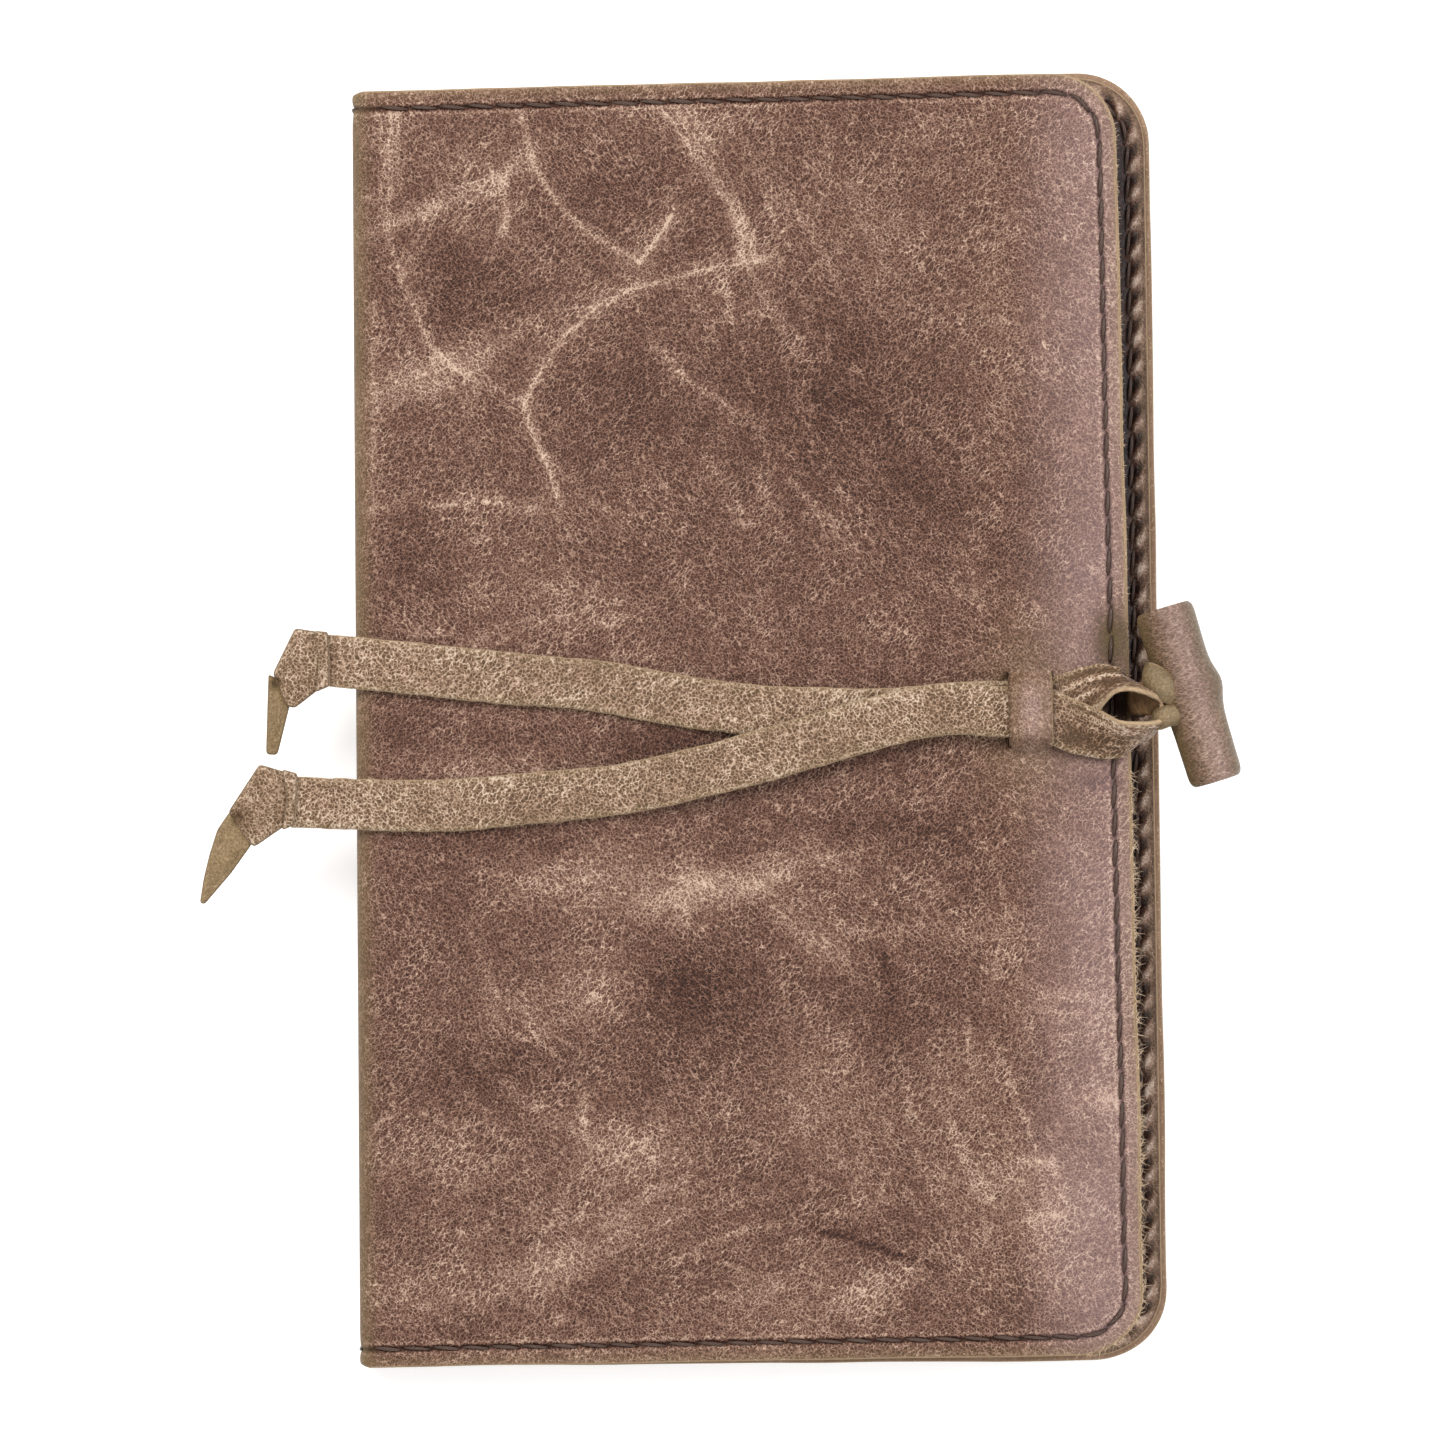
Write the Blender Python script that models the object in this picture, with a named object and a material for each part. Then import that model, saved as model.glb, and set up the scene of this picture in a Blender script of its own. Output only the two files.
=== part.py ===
"""Leather notebook cover, closed and lying on its back cover.

Metres, +Z up. The spine runs along Y on the -X side, the cover opens on the +X side.
The origin is on the table, at the middle of the back cover's outside face.
"""

import math

import bmesh
import bpy
from mathutils import Vector

for old in list(bpy.data.objects):
    bpy.data.objects.remove(old, do_unlink=True)

MM = 0.001

# ---- driving dimensions, in millimetres -------------------------------------------------
CLOSED_T = 16.0          # outside of the back cover to outside of the front cover
LEATHER_T = 1.8          # outer leather
POCKET_T = 1.2           # pocket leather
SLOT_T = 2.1             # slot between a pocket and its cover, for the notebook's board
GAP = 0.3                # clearance between neighbouring pieces
SPINE_X = -68.75         # outside face of the spine
AXIS_X = SPINE_X + LEATHER_T / 2      # both fold creases, seen from above
AXIS_LOW = LEATHER_T / 2              # height of the back crease
AXIS_HIGH = CLOSED_T - LEATHER_T / 2  # height of the front crease
PANEL_X = AXIS_X + LEATHER_T / 2 + GAP  # where both panels start

# outline corners of each panel: spine top, outer top, outer bottom, spine bottom
FRONT = ((SPINE_X, 109.6), (SPINE_X + 131.3, 112.0), (SPINE_X + 135.1, -108.3), (SPINE_X, -109.9))
BACK = ((SPINE_X, 110.0), (SPINE_X + 137.2, 112.6), (SPINE_X + 139.2, -109.8), (SPINE_X, -110.2))
FRONT_R = 11.0
BACK_R = 12.5

STITCH_IN = 3.1          # stitch row in from the edge
THREAD_W = 0.8
THREAD_T = 0.4
GROOVE_D = 0.8

POCKET_X = SPINE_X + 58.0   # inner edge of both pockets
POCKET_IN = 0.3             # pocket edge in from the cover's edge
POCKET_RIM = 5.0            # sewn rim of a pocket

LACE_W = 8.6
LACE_T = 1.2
LACE_Z1 = CLOSED_T + GAP                 # lower strand's underside
LACE_Z2 = LACE_Z1 + LACE_T + GAP         # upper strand's underside
RUN_Y = 2.8                              # middle of the doubled lace at the bridge
RUN_X = (35.9, 52.3)                     # straight doubled stretch under the bridge
TAIL_AXIS_X = 35.0                       # where both tails start to lift
TAIL_END_X = 34.1

BRIDGE_X = (43.45, 50.85)                # the two slits
BRIDGE_Y = (-3.95, 9.05)                 # their ends
BRIDGE_T = 1.6
BRIDGE_LOW = LACE_Z2 + LACE_T + GAP      # underside of the raised band

ROLL_TOP = (70.7, 19.8)                  # ends of the toggle's axis
ROLL_BOTTOM = (79.6, -9.5)
ROLL_Z = 17.5
ROLL_R = (4.75, 4.3)                     # radius at the top end and at the bottom end

NECK_X = (65.5, 66.9)
NECK_Y = 3.9
NECK_W = 4.8
NECK_Z = 6.2                             # where the neck bends
LOOP_TOP = 21.0


# ---- materials --------------------------------------------------------------------------
def material(name, colour, rough):
    mat = bpy.data.materials.new(name)
    mat.use_nodes = True
    shader = mat.node_tree.nodes["Principled BSDF"]
    shader.inputs["Base Color"].default_value = (*colour, 1.0)
    shader.inputs["Roughness"].default_value = rough
    shader.inputs["Metallic"].default_value = 0.0
    mat.diffuse_color = (*colour, 1.0)
    return mat


COVER = material("cover_leather", (0.235, 0.133, 0.098), 0.5)
POCKET = material("pocket_leather", (0.17, 0.09, 0.065), 0.55)
THREAD = material("waxed_thread", (0.09, 0.045, 0.03), 0.5)
LACE = material("lace_leather", (0.34, 0.21, 0.14), 0.6)
TOGGLE = material("toggle_leather", (0.30, 0.19, 0.15), 0.45)


# ---- plan outlines ----------------------------------------------------------------------
def cross_point(p, d, q, e):
    """Where the line through p along d meets the line through q along e."""
    det = d[0] * -e[1] + e[0] * d[1]
    t = ((q[0] - p[0]) * -e[1] + e[0] * (q[1] - p[1])) / det
    return (p[0] + d[0] * t, p[1] + d[1] * t)


def inset_corners(corners, inset):
    """The outline's corners moved in from the top, outer and bottom edges, not from the spine."""
    tl, tr, br, bl = corners
    lines = []
    for a, b in ((tl, tr), (tr, br), (br, bl)):
        d = Vector((b[0] - a[0], b[1] - a[1])).normalized()
        n = Vector((d.y, -d.x))  # inwards for a path that runs top, outer, bottom
        lines.append(((a[0] + n.x * inset, a[1] + n.y * inset), (d.x, d.y)))
    start = cross_point(*lines[0], tl, (0, 1))
    end = cross_point(*lines[2], bl, (0, 1))
    return (start, cross_point(*lines[0], *lines[1]), cross_point(*lines[1], *lines[2]), end)


def rounded(before, corner, after, radius, steps):
    """Points of the arc that rounds one corner."""
    c = Vector(corner)
    a = (Vector(before) - c).normalized()
    b = (Vector(after) - c).normalized()
    half = a.angle(b) / 2
    reach = radius / math.tan(half)
    centre = c + (a + b).normalized() * (radius / math.sin(half))
    p, q = c + a * reach - centre, c + b * reach - centre
    turn = math.atan2(p.x * q.y - p.y * q.x, p.dot(q))
    out = []
    for k in range(steps + 1):
        t = turn * k / steps
        out.append((centre.x + p.x * math.cos(t) - p.y * math.sin(t), centre.y + p.x * math.sin(t) + p.y * math.cos(t)))
    return out


def panel_path(corners, radius, inset, x_start, steps=8):
    """The open path along top, outer side and bottom, starting and ending at x_start."""
    tl, tr, br, bl = inset_corners(corners, inset)
    r = max(radius - inset, 0.5)
    first = cross_point(tl, (tr[0] - tl[0], tr[1] - tl[1]), (x_start, 0), (0, 1))
    last = cross_point(bl, (br[0] - bl[0], br[1] - bl[1]), (x_start, 0), (0, 1))
    return [first] + rounded(tl, tr, br, r, steps) + rounded(tr, br, bl, r, steps) + [last]


# ---- solids -----------------------------------------------------------------------------
def keep(name, bm, mat, origin=(0, 0, 0), smooth=None, helper=False):
    """Makes one named object from a mesh in millimetres, with its origin where asked."""
    bmesh.ops.recalc_face_normals(bm, faces=bm.faces)
    shift = Vector(origin)
    for v in bm.verts:
        v.co = (v.co - shift) * MM
    mesh = bpy.data.meshes.new(name)
    bm.to_mesh(mesh)
    bm.free()
    if smooth is not None:
        mesh.shade_smooth()
        mesh.set_sharp_from_angle(angle=math.radians(smooth))
    obj = bpy.data.objects.new(name, mesh)
    obj.location = shift * MM
    bpy.context.collection.objects.link(obj)
    if helper:
        obj.hide_render = True
        obj.display_type = "WIRE"
    else:
        mesh.materials.append(mat)
    return obj


def prism(points, z0, z1, bm=None):
    """A flat outline raised from z0 to z1."""
    bm = bm or bmesh.new()
    face = bm.faces.new([bm.verts.new((x, y, z0)) for x, y in points])
    raised = bmesh.ops.extrude_face_region(bm, geom=[face])["geom"]
    for v in raised:
        if isinstance(v, bmesh.types.BMVert):
            v.co.z = z1
    return bm


def side_prism(points, y0, y1):
    """An XZ outline drawn out along Y."""
    bm = bmesh.new()
    face = bm.faces.new([bm.verts.new((x, y0, z)) for x, z in points])
    for v in bmesh.ops.extrude_face_region(bm, geom=[face])["geom"]:
        if isinstance(v, bmesh.types.BMVert):
            v.co.y = y1
    return bm


def cut(obj, cutter, operation="DIFFERENCE"):
    mod = obj.modifiers.new(cutter.name, "BOOLEAN")
    mod.operation = operation
    mod.solver = "EXACT"
    mod.object = cutter
    return mod


def stitch_strip(corners, radius, x_start, half):
    """The C-shaped strip that a stitch row fills, half wide to each side of the row."""
    outer = panel_path(corners, radius, STITCH_IN - half, x_start)
    inner = panel_path(corners, radius, STITCH_IN + half, x_start)
    return outer + inner[::-1]


def groove_and_thread(obj, corners, radius, z_face, up, thread_name, x_start, origin):
    """A groove in the panel's outside face, and the thread that lies in it."""
    groove = stitch_strip(corners, radius, x_start - 6, THREAD_W / 2 + GAP)
    floor = z_face - up * GROOVE_D
    helper = keep(thread_name + "_groove", prism(groove, min(floor, z_face + up), max(floor, z_face + up)), None, helper=True)
    cut(obj, helper)
    low = floor + up * GAP
    high = low + up * THREAD_T
    strip = stitch_strip(corners, radius, x_start + 0.4, THREAD_W / 2)
    return keep(thread_name, prism(strip, min(low, high), max(low, high)), THREAD, origin)


# back panel, its pocket, and the thread in its outside face
back_axis = (AXIS_X, 0, AXIS_LOW)
front_axis = (AXIS_X, 0, AXIS_HIGH)

back_cover = keep("back_cover", prism(panel_path(BACK, BACK_R, 0, PANEL_X), 0, LEATHER_T), COVER)
back_thread = groove_and_thread(back_cover, BACK, BACK_R, 0.0, -1, "back_thread", PANEL_X, (0, 0, 0))


def pocket(name, corners, radius, z0, z1, slot0, slot1, origin):
    """Pocket leather with a sewn rim on three sides, and the open slot for the board."""
    body = keep(name, prism(panel_path(corners, radius, POCKET_IN, POCKET_X), z0, z1), POCKET, origin)
    space = panel_path(corners, radius, POCKET_IN + POCKET_RIM, POCKET_X - 4)
    cut(body, keep(name + "_slot", prism(space, slot0, slot1), None, helper=True))
    return body


low0 = LEATHER_T + GAP
low1 = LEATHER_T + SLOT_T
back_pocket = pocket("back_pocket", BACK, BACK_R, low0, low1 + POCKET_T, low0 - 1, low1, (0, 0, 0))
high0 = CLOSED_T - LEATHER_T - SLOT_T
high1 = CLOSED_T - LEATHER_T - GAP
front_pocket = pocket("front_pocket", FRONT, FRONT_R, high0 - POCKET_T, high1, high0, high1 + 1, front_axis)

# slit and channel through the back pocket's rim, where the toggle's thong comes out
slit = prism(
    [(NECK_X[0] - GAP, NECK_Y - NECK_W / 2 - GAP), (NECK_X[1] + GAP, NECK_Y - NECK_W / 2 - GAP),
     (NECK_X[1] + GAP, NECK_Y + NECK_W / 2 + GAP), (NECK_X[0] - GAP, NECK_Y + NECK_W / 2 + GAP)],
    low0 - 1, low1 + POCKET_T + 1)
cut(back_pocket, keep("thong_slit", slit, None, helper=True))
channel = prism(
    [(NECK_X[0] - 4, NECK_Y - NECK_W / 2 - GAP), (NECK_X[1] + GAP, NECK_Y - NECK_W / 2 - GAP),
     (NECK_X[1] + GAP, NECK_Y + NECK_W / 2 + GAP), (NECK_X[0] - 4, NECK_Y + NECK_W / 2 + GAP)],
    low0 - 1, low0 + LACE_T + GAP)
cut(back_pocket, keep("thong_channel", channel, None, helper=True))

# the thong's fixed end: up through the slit, with its foot sewn flat under the pocket leather
thong_t = NECK_X[1] - NECK_X[0]
foot = [(54.0, low0), (NECK_X[1], low0), (NECK_X[1], low1 + POCKET_T), (NECK_X[0], low1 + POCKET_T),
        (NECK_X[0], low0 + LACE_T), (54.0, low0 + LACE_T)]
thong_anchor = keep("thong_anchor", side_prism(foot, NECK_Y - NECK_W / 2, NECK_Y + NECK_W / 2), TOGGLE)

# spine: a plate whose long sides are rounded about the two creases
half = LEATHER_T / 2
profile = []
for k in range(13):
    t = math.pi * k / 12
    profile.append((AXIS_X + half * math.cos(t), AXIS_HIGH + half * math.sin(t)))
for k in range(13):
    t = math.pi + math.pi * k / 12
    profile.append((AXIS_X + half * math.cos(t), AXIS_LOW + half * math.sin(t)))
spine_cover = keep("spine_cover", side_prism(profile, -109.9, 109.6), COVER, back_axis, smooth=40)

for end, y in (("head", 109.6 - STITCH_IN), ("tail", -109.9 + STITCH_IN)):
    w = THREAD_W / 2
    x0, x1 = SPINE_X - 1, SPINE_X + GROOVE_D
    z0, z1 = AXIS_LOW + 0.5, AXIS_HIGH - 0.5
    cut(spine_cover, keep(
        "spine_groove_" + end,
        side_prism([(x0, z0), (x1, z0), (x1, z1), (x0, z1)], y - w - GAP, y + w + GAP), None, helper=True))
    x0, x1 = SPINE_X + GROOVE_D - GAP - THREAD_T, SPINE_X + GROOVE_D - GAP
    z0, z1 = z0 + GAP, z1 - GAP
    keep("spine_thread_" + end, side_prism([(x0, z0), (x1, z0), (x1, z1), (x0, z1)], y - w, y + w), THREAD, back_axis)

# front panel with the window under its raised band, and the thread in its outside face
front_cover = keep("front_cover", prism(panel_path(FRONT, FRONT_R, 0, PANEL_X), CLOSED_T - LEATHER_T, CLOSED_T), COVER, front_axis)
front_thread = groove_and_thread(front_cover, FRONT, FRONT_R, CLOSED_T, 1, "front_thread", PANEL_X, front_axis)
window = prism([(BRIDGE_X[0], BRIDGE_Y[0]), (BRIDGE_X[1], BRIDGE_Y[0]), (BRIDGE_X[1], BRIDGE_Y[1]), (BRIDGE_X[0], BRIDGE_Y[1])],
               CLOSED_T - LEATHER_T - 1, CLOSED_T + 0.6)
cut(front_cover, keep("bridge_window", window, None, helper=True))


def band_side(offset):
    """One side of the raised band in YZ, from the low-Y foot to the high-Y foot."""
    mid = (BRIDGE_Y[0] + BRIDGE_Y[1]) / 2
    reach = (BRIDGE_Y[1] - BRIDGE_Y[0]) / 2 + offset * 0.45
    rise = BRIDGE_LOW + offset - CLOSED_T
    out = []
    for k in range(17):
        u = -1 + 2 * k / 16
        lift = (1 - abs(u) ** 7) ** 0.75
        out.append((mid + reach * math.sin(u * math.pi / 2), CLOSED_T + rise * lift))
    return out


inner, outer = band_side(0.0), band_side(BRIDGE_T)
foot_z = CLOSED_T - LEATHER_T + 0.4
ring = [(BRIDGE_Y[0] - 1.2, foot_z), (BRIDGE_Y[0] - 1.2, CLOSED_T - 0.1)] + outer[1:-1]
ring += [(BRIDGE_Y[1] + 1.2, CLOSED_T - 0.1), (BRIDGE_Y[1] + 1.2, foot_z), (BRIDGE_Y[1], foot_z)]
ring += inner[::-1][1:-1] + [(BRIDGE_Y[0], foot_z)]
band = bmesh.new()
face = band.faces.new([band.verts.new((BRIDGE_X[0] + 0.15, y, z)) for y, z in ring])
for v in bmesh.ops.extrude_face_region(band, geom=[face])["geom"]:
    if isinstance(v, bmesh.types.BMVert):
        v.co.x = BRIDGE_X[1] - 0.15
cut(front_cover, keep("bridge_band", band, None, helper=True), "UNION")


# ---- lace -------------------------------------------------------------------------------
def smooth_route(points, count):
    """Evenly spread points on a smooth curve through the route's own points."""
    pts = [Vector(p) for p in points]
    pts = [pts[0] * 2 - pts[1]] + pts + [pts[-1] * 2 - pts[-2]]
    fine = []
    for i in range(1, len(pts) - 2):
        a, b, c, d = pts[i - 1:i + 3]
        for k in range(24):
            t = k / 24
            fine.append(0.5 * ((2 * b) + (c - a) * t + (2 * a - 5 * b + 4 * c - d) * t * t + (3 * b - a - 3 * c + d) * t ** 3))
    fine.append(pts[-2])
    lengths = [0.0]
    for p, q in zip(fine, fine[1:]):
        lengths.append(lengths[-1] + (q - p).length)
    out, j = [], 0
    for k in range(count):
        s = lengths[-1] * k / (count - 1)
        while j < len(fine) - 2 and lengths[j + 1] < s:
            j += 1
        f = (s - lengths[j]) / (lengths[j + 1] - lengths[j])
        out.append(fine[j].lerp(fine[j + 1], f))
    return out


def strap(name, route, low, count, origin):
    """A flat strap along a route in plan; low(x) is its underside's height."""
    pts = smooth_route(route, count)
    bm = bmesh.new()
    rows = []
    for i, p in enumerate(pts):
        d = (pts[min(i + 1, count - 1)] - pts[max(i - 1, 0)]).normalized()
        if i in (0, count - 1):
            d = Vector((1, 0)) if abs(d.x) > 0.9 else d
        n = Vector((-d.y, d.x)) * (LACE_W / 2)
        z = low(p.x)
        rows.append([bm.verts.new((p.x + n.x * s, p.y + n.y * s, z + h))
                     for s, h in ((-1, 0), (1, 0), (1, LACE_T), (-1, LACE_T))])
    for a, b in zip(rows, rows[1:]):
        for k in range(4):
            m = (k + 1) % 4
            bm.faces.new((a[k], a[m], b[m], b[k]))
    bm.faces.new(rows[0][::-1])
    bm.faces.new(rows[-1])
    return keep(name, bm, LACE, origin, smooth=35)


tail_axis = (TAIL_AXIS_X, RUN_Y, LACE_Z2 + LACE_T)
UPPER_ROUTE = [(-72.4, 11.7), (-55.6, 9.9), (-40.5, 8.3), (-26.7, 7.0), (-13.0, 4.5), (-1.5, 2.8), (11.1, 2.0),
               (21.2, 2.1), (28.5, 2.6), (TAIL_END_X, RUN_Y)]
LOWER_ROUTE = [(-78.2, -12.4), (-70.7, -12.9), (-55.8, -13.3), (-40.6, -12.4), (-26.8, -11.1), (-16.7, -9.4), (-9.1, -7.6),
               (-1.5, -5.7), (5.9, -3.7), (13.6, -1.5), (23.6, 1.2), (28.8, 2.3), (TAIL_END_X, RUN_Y)]


def over(x):
    """The lower tail's underside: on the cover at its far end, on the other tail nearer the bridge."""
    t = min(max((x + 26.0) / 11.0, 0.0), 1.0)
    return LACE_Z1 + (LACE_Z2 - LACE_Z1) * t * t * (3 - 2 * t)


strap("upper_tail", UPPER_ROUTE, lambda x: LACE_Z1, 44, tail_axis)
strap("lower_tail", LOWER_ROUTE, over, 48, tail_axis)
run_box = [(RUN_X[0], RUN_Y - LACE_W / 2), (RUN_X[1], RUN_Y - LACE_W / 2), (RUN_X[1], RUN_Y + LACE_W / 2), (RUN_X[0], RUN_Y + LACE_W / 2)]
keep("lace_run_lower", prism(run_box, LACE_Z1, LACE_Z1 + LACE_T), LACE)
keep("lace_run_upper", prism(run_box, LACE_Z2, LACE_Z2 + LACE_T), LACE)

# the loop past the bridge: a tall ring with a drop-shaped eye
LOOP_MID = (62.6, 3.3)
LOOP_R = (7.3, 5.7)
outer, inner = [], []
for k in range(17):
    t = -math.pi / 2 + math.pi * k / 16
    outer.append((LOOP_MID[0] + LOOP_R[0] * math.cos(t), LOOP_MID[1] + LOOP_R[0] * math.sin(t)))
    inner.append((LOOP_MID[0] + LOOP_R[1] * math.cos(t), LOOP_MID[1] + LOOP_R[1] * math.sin(t)))
outer += [(57.2, LOOP_MID[1] + 6.4), (RUN_X[1] + GAP, RUN_Y + 5.2), (RUN_X[1] + GAP, RUN_Y - 5.2), (57.2, LOOP_MID[1] - 6.9)]
inner += [(60.6, LOOP_MID[1] + 3.2), (58.8, LOOP_MID[1] + 0.5), (58.8, LOOP_MID[1] - 0.5), (60.6, LOOP_MID[1] - 3.2)]
bm = bmesh.new()
levels = []
for z in (LACE_Z1, LOOP_TOP):
    levels.append(([bm.verts.new((x, y, z)) for x, y in outer], [bm.verts.new((x, y, z)) for x, y in inner]))
n = len(outer)
for i in range(n):
    j = (i + 1) % n
    for ring_set in levels:
        bm.faces.new((ring_set[0][i], ring_set[0][j], ring_set[1][j], ring_set[1][i]))
    for side in (0, 1):
        bm.faces.new((levels[0][side][i], levels[0][side][j], levels[1][side][j], levels[1][side][i]))
keep("lace_loop", bm, LACE)

# knots: folded overhand knots with a pointed end
KNOT_T = 3.6
UPPER_KNOT = [(-79.1, 17.3), (-73.6, 16.9), (-72.8, 7.3), (-79.9, 3.5), (-82.2, -4.4), (-83.9, -4.4), (-83.5, 8.9)]
LOWER_KNOT = [(-85.1, -6.1), (-78.9, -7.6), (-78.5, -16.9), (-87.1, -19.8), (-94.6, -29.9), (-95.4, -29.4), (-93.3, -20.1), (-90.2, -14.5)]


def knot(name, points):
    """The knot's outline, thick at its edge and domed over its middle."""
    cx = sum(p[0] for p in points) / len(points)
    cy = sum(p[1] for p in points) / len(points)
    bm = bmesh.new()
    rows = []
    for z, f in ((LACE_Z1, 1.0), (LACE_Z1 + KNOT_T * 0.62, 1.0), (LACE_Z1 + KNOT_T, 0.72)):
        rows.append([bm.verts.new((cx + (x - cx) * f, cy + (y - cy) * f, z)) for x, y in points])
    for a, b in zip(rows, rows[1:]):
        for i in range(len(points)):
            j = (i + 1) % len(points)
            bm.faces.new((a[i], a[j], b[j], b[i]))
    bm.faces.new(rows[0][::-1])
    bm.faces.new(rows[-1])
    return keep(name, bm, LACE, tail_axis)


knot("upper_knot", [(x - 0.3, y) for x, y in UPPER_KNOT])
knot("lower_knot", [(x - 0.3, y) for x, y in LOWER_KNOT])

# ---- toggle -----------------------------------------------------------------------------
ROLL_MID = ((ROLL_TOP[0] + ROLL_BOTTOM[0]) / 2, (ROLL_TOP[1] + ROLL_BOTTOM[1]) / 2)


def roll_point(t, turn):
    """A point of the rolled leather's outside; the radius steps down where the flap ends."""
    axis = Vector((ROLL_BOTTOM[0] - ROLL_TOP[0], ROLL_BOTTOM[1] - ROLL_TOP[1], 0)).normalized()
    side = Vector((axis.y, -axis.x, 0)) * -1
    up = Vector((0, 0, 1))
    base = Vector((ROLL_TOP[0], ROLL_TOP[1], ROLL_Z)).lerp(Vector((ROLL_BOTTOM[0], ROLL_BOTTOM[1], ROLL_Z)), t)
    radius = ROLL_R[0] + (ROLL_R[1] - ROLL_R[0]) * t
    radius *= 1 - 0.14 * turn
    angle = math.radians(150) + 2 * math.pi * turn
    return base + (side * math.cos(angle) + up * math.sin(angle)) * radius


bm = bmesh.new()
rows = []
for i in range(7):
    rows.append([bm.verts.new(roll_point(i / 6, k / 28)) for k in range(28)])
for a, b in zip(rows, rows[1:]):
    for k in range(28):
        m = (k + 1) % 28
        bm.faces.new((a[k], a[m], b[m], b[k]))
bm.faces.new(rows[0][::-1])
bm.faces.new(rows[-1])
keep("toggle_roll", bm, TOGGLE, (ROLL_MID[0], ROLL_MID[1], ROLL_Z), smooth=35)

# the thong's free part: up from the bend, over the loop's end, and on top of the roll
TOP0 = ROLL_Z + ROLL_R[0] + GAP
TOP1 = TOP0 + thong_t
hook = [(NECK_X[0], NECK_Z), (NECK_X[1], NECK_Z), (NECK_X[1], TOP0), (74.5, TOP0), (74.5, TOP1), (NECK_X[0] + 0.8, TOP1), (NECK_X[0], TOP1 - 0.8)]
keep("toggle_thong", side_prism(hook, NECK_Y - NECK_W / 2, NECK_Y + NECK_W / 2), TOGGLE, ((NECK_X[0] + NECK_X[1]) / 2, NECK_Y, NECK_Z))
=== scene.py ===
"""Looks of the leather notebook cover. All working lengths are in millimetres."""

import math

import bmesh
import bpy
import numpy as np
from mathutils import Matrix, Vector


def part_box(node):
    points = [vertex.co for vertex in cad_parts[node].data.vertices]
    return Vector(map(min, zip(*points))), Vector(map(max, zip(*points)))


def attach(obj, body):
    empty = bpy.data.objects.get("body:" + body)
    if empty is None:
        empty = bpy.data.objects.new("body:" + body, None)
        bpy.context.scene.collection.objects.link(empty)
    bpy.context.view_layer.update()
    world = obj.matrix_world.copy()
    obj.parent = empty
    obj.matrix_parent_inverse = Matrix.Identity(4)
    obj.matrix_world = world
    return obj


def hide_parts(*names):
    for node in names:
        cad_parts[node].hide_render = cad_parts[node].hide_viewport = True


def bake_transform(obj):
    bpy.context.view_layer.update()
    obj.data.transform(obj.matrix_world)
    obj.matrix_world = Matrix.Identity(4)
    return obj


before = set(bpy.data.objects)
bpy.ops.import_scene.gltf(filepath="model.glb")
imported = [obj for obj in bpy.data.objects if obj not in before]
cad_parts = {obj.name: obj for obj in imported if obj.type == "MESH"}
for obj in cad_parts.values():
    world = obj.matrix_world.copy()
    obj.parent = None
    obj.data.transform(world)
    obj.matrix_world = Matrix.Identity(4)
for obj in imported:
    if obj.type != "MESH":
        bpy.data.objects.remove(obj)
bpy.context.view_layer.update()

# ------------------------------------------------------------------ shared sizes (as in the CAD)
def cad(node):
    """A CAD node's points at rest."""
    return np.array([v.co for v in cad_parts[node].data.vertices], float) * 1000


def box(*nodes):
    """Lowest and highest corner of some CAD nodes together."""
    pairs = [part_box(n) for n in nodes]
    return np.min([np.array(a) for a, _ in pairs], 0) * 1000, np.max([np.array(b) for _, b in pairs], 0) * 1000


def hull(points):
    """Outline round some points in plan, anticlockwise."""
    P = sorted(set(map(tuple, np.round(points, 4))))
    out = []
    for run in (P, P[::-1]):
        part = []
        for q in run:
            while len(part) > 1 and (part[-1][0] - part[-2][0]) * (q[1] - part[-2][1]) - (part[-1][1] - part[-2][1]) * (q[0] - part[-2][0]) <= 0:
                part.pop()
            part.append(q)
        out += part[:-1]
    return np.array(out)


def corners(node):
    """A CAD panel's corners before rounding, carried on to the spine's outside: spine head, outer head, outer tail, spine tail."""
    h = hull(cad(node)[:, :2])
    d = np.roll(h, -1, 0) - h
    top, out, low = np.argmin(d[:, 0]), np.argmax(d[:, 1]), np.argmax(d[:, 0])

    def at_spine(i):
        return SX, h[i, 1] + d[i, 1] * (SX - h[i, 0]) / d[i, 0]

    def crossing(i, j):
        return h[i] + d[i] * np.linalg.solve(np.array([d[i], -d[j]]).T, h[j] - h[i])[0]
    return np.array([at_spine(top), crossing(top, out), crossing(low, out), at_spine(low)])


def mid_y(node, x):
    """Middle of a CAD strap's width where it crosses x."""
    P = cad(node)
    y = [P[a, 1] + (P[b, 1] - P[a, 1]) * (x - P[a, 0]) / (P[b, 0] - P[a, 0])
         for a, b in (e.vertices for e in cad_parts[node].data.edges) if (P[a, 0] - x) * (P[b, 0] - x) < 0]
    return (min(y) + max(y)) / 2


def bar_ends(node):
    """Middles of the two ends of a straight CAD bar, the head's end first."""
    P = np.unique(np.round(cad(node), 3), axis=0)
    t = (P - P.mean(0)) @ np.linalg.svd(P - P.mean(0))[2][0]
    return sorted((P[t < t.min() + 1].mean(0), P[t > t.max() - 1].mean(0)), key=lambda q: -q[1])


def off(origin, rows):
    """Rows of x, y, z and more, given from an origin."""
    return [(origin[0] + r[0], origin[1] + r[1], origin[2] + r[2], *r[3:]) for r in rows]


LT = box("back_cover")[1][2]
S = box("front_cover")[0][2] + LT
SX = box("spine_cover")[0][0]
FRONT = corners("front_cover")
BACK = corners("back_cover")
FW, FH, FR = 133.2, 110.0, 11.0
BW, BH, BR = 138.2, 111.3, 12.5
ROW = 3.1
BACK_ROW = 0.7  # the back's row is this much further in
PITCH = 5.0


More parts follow.
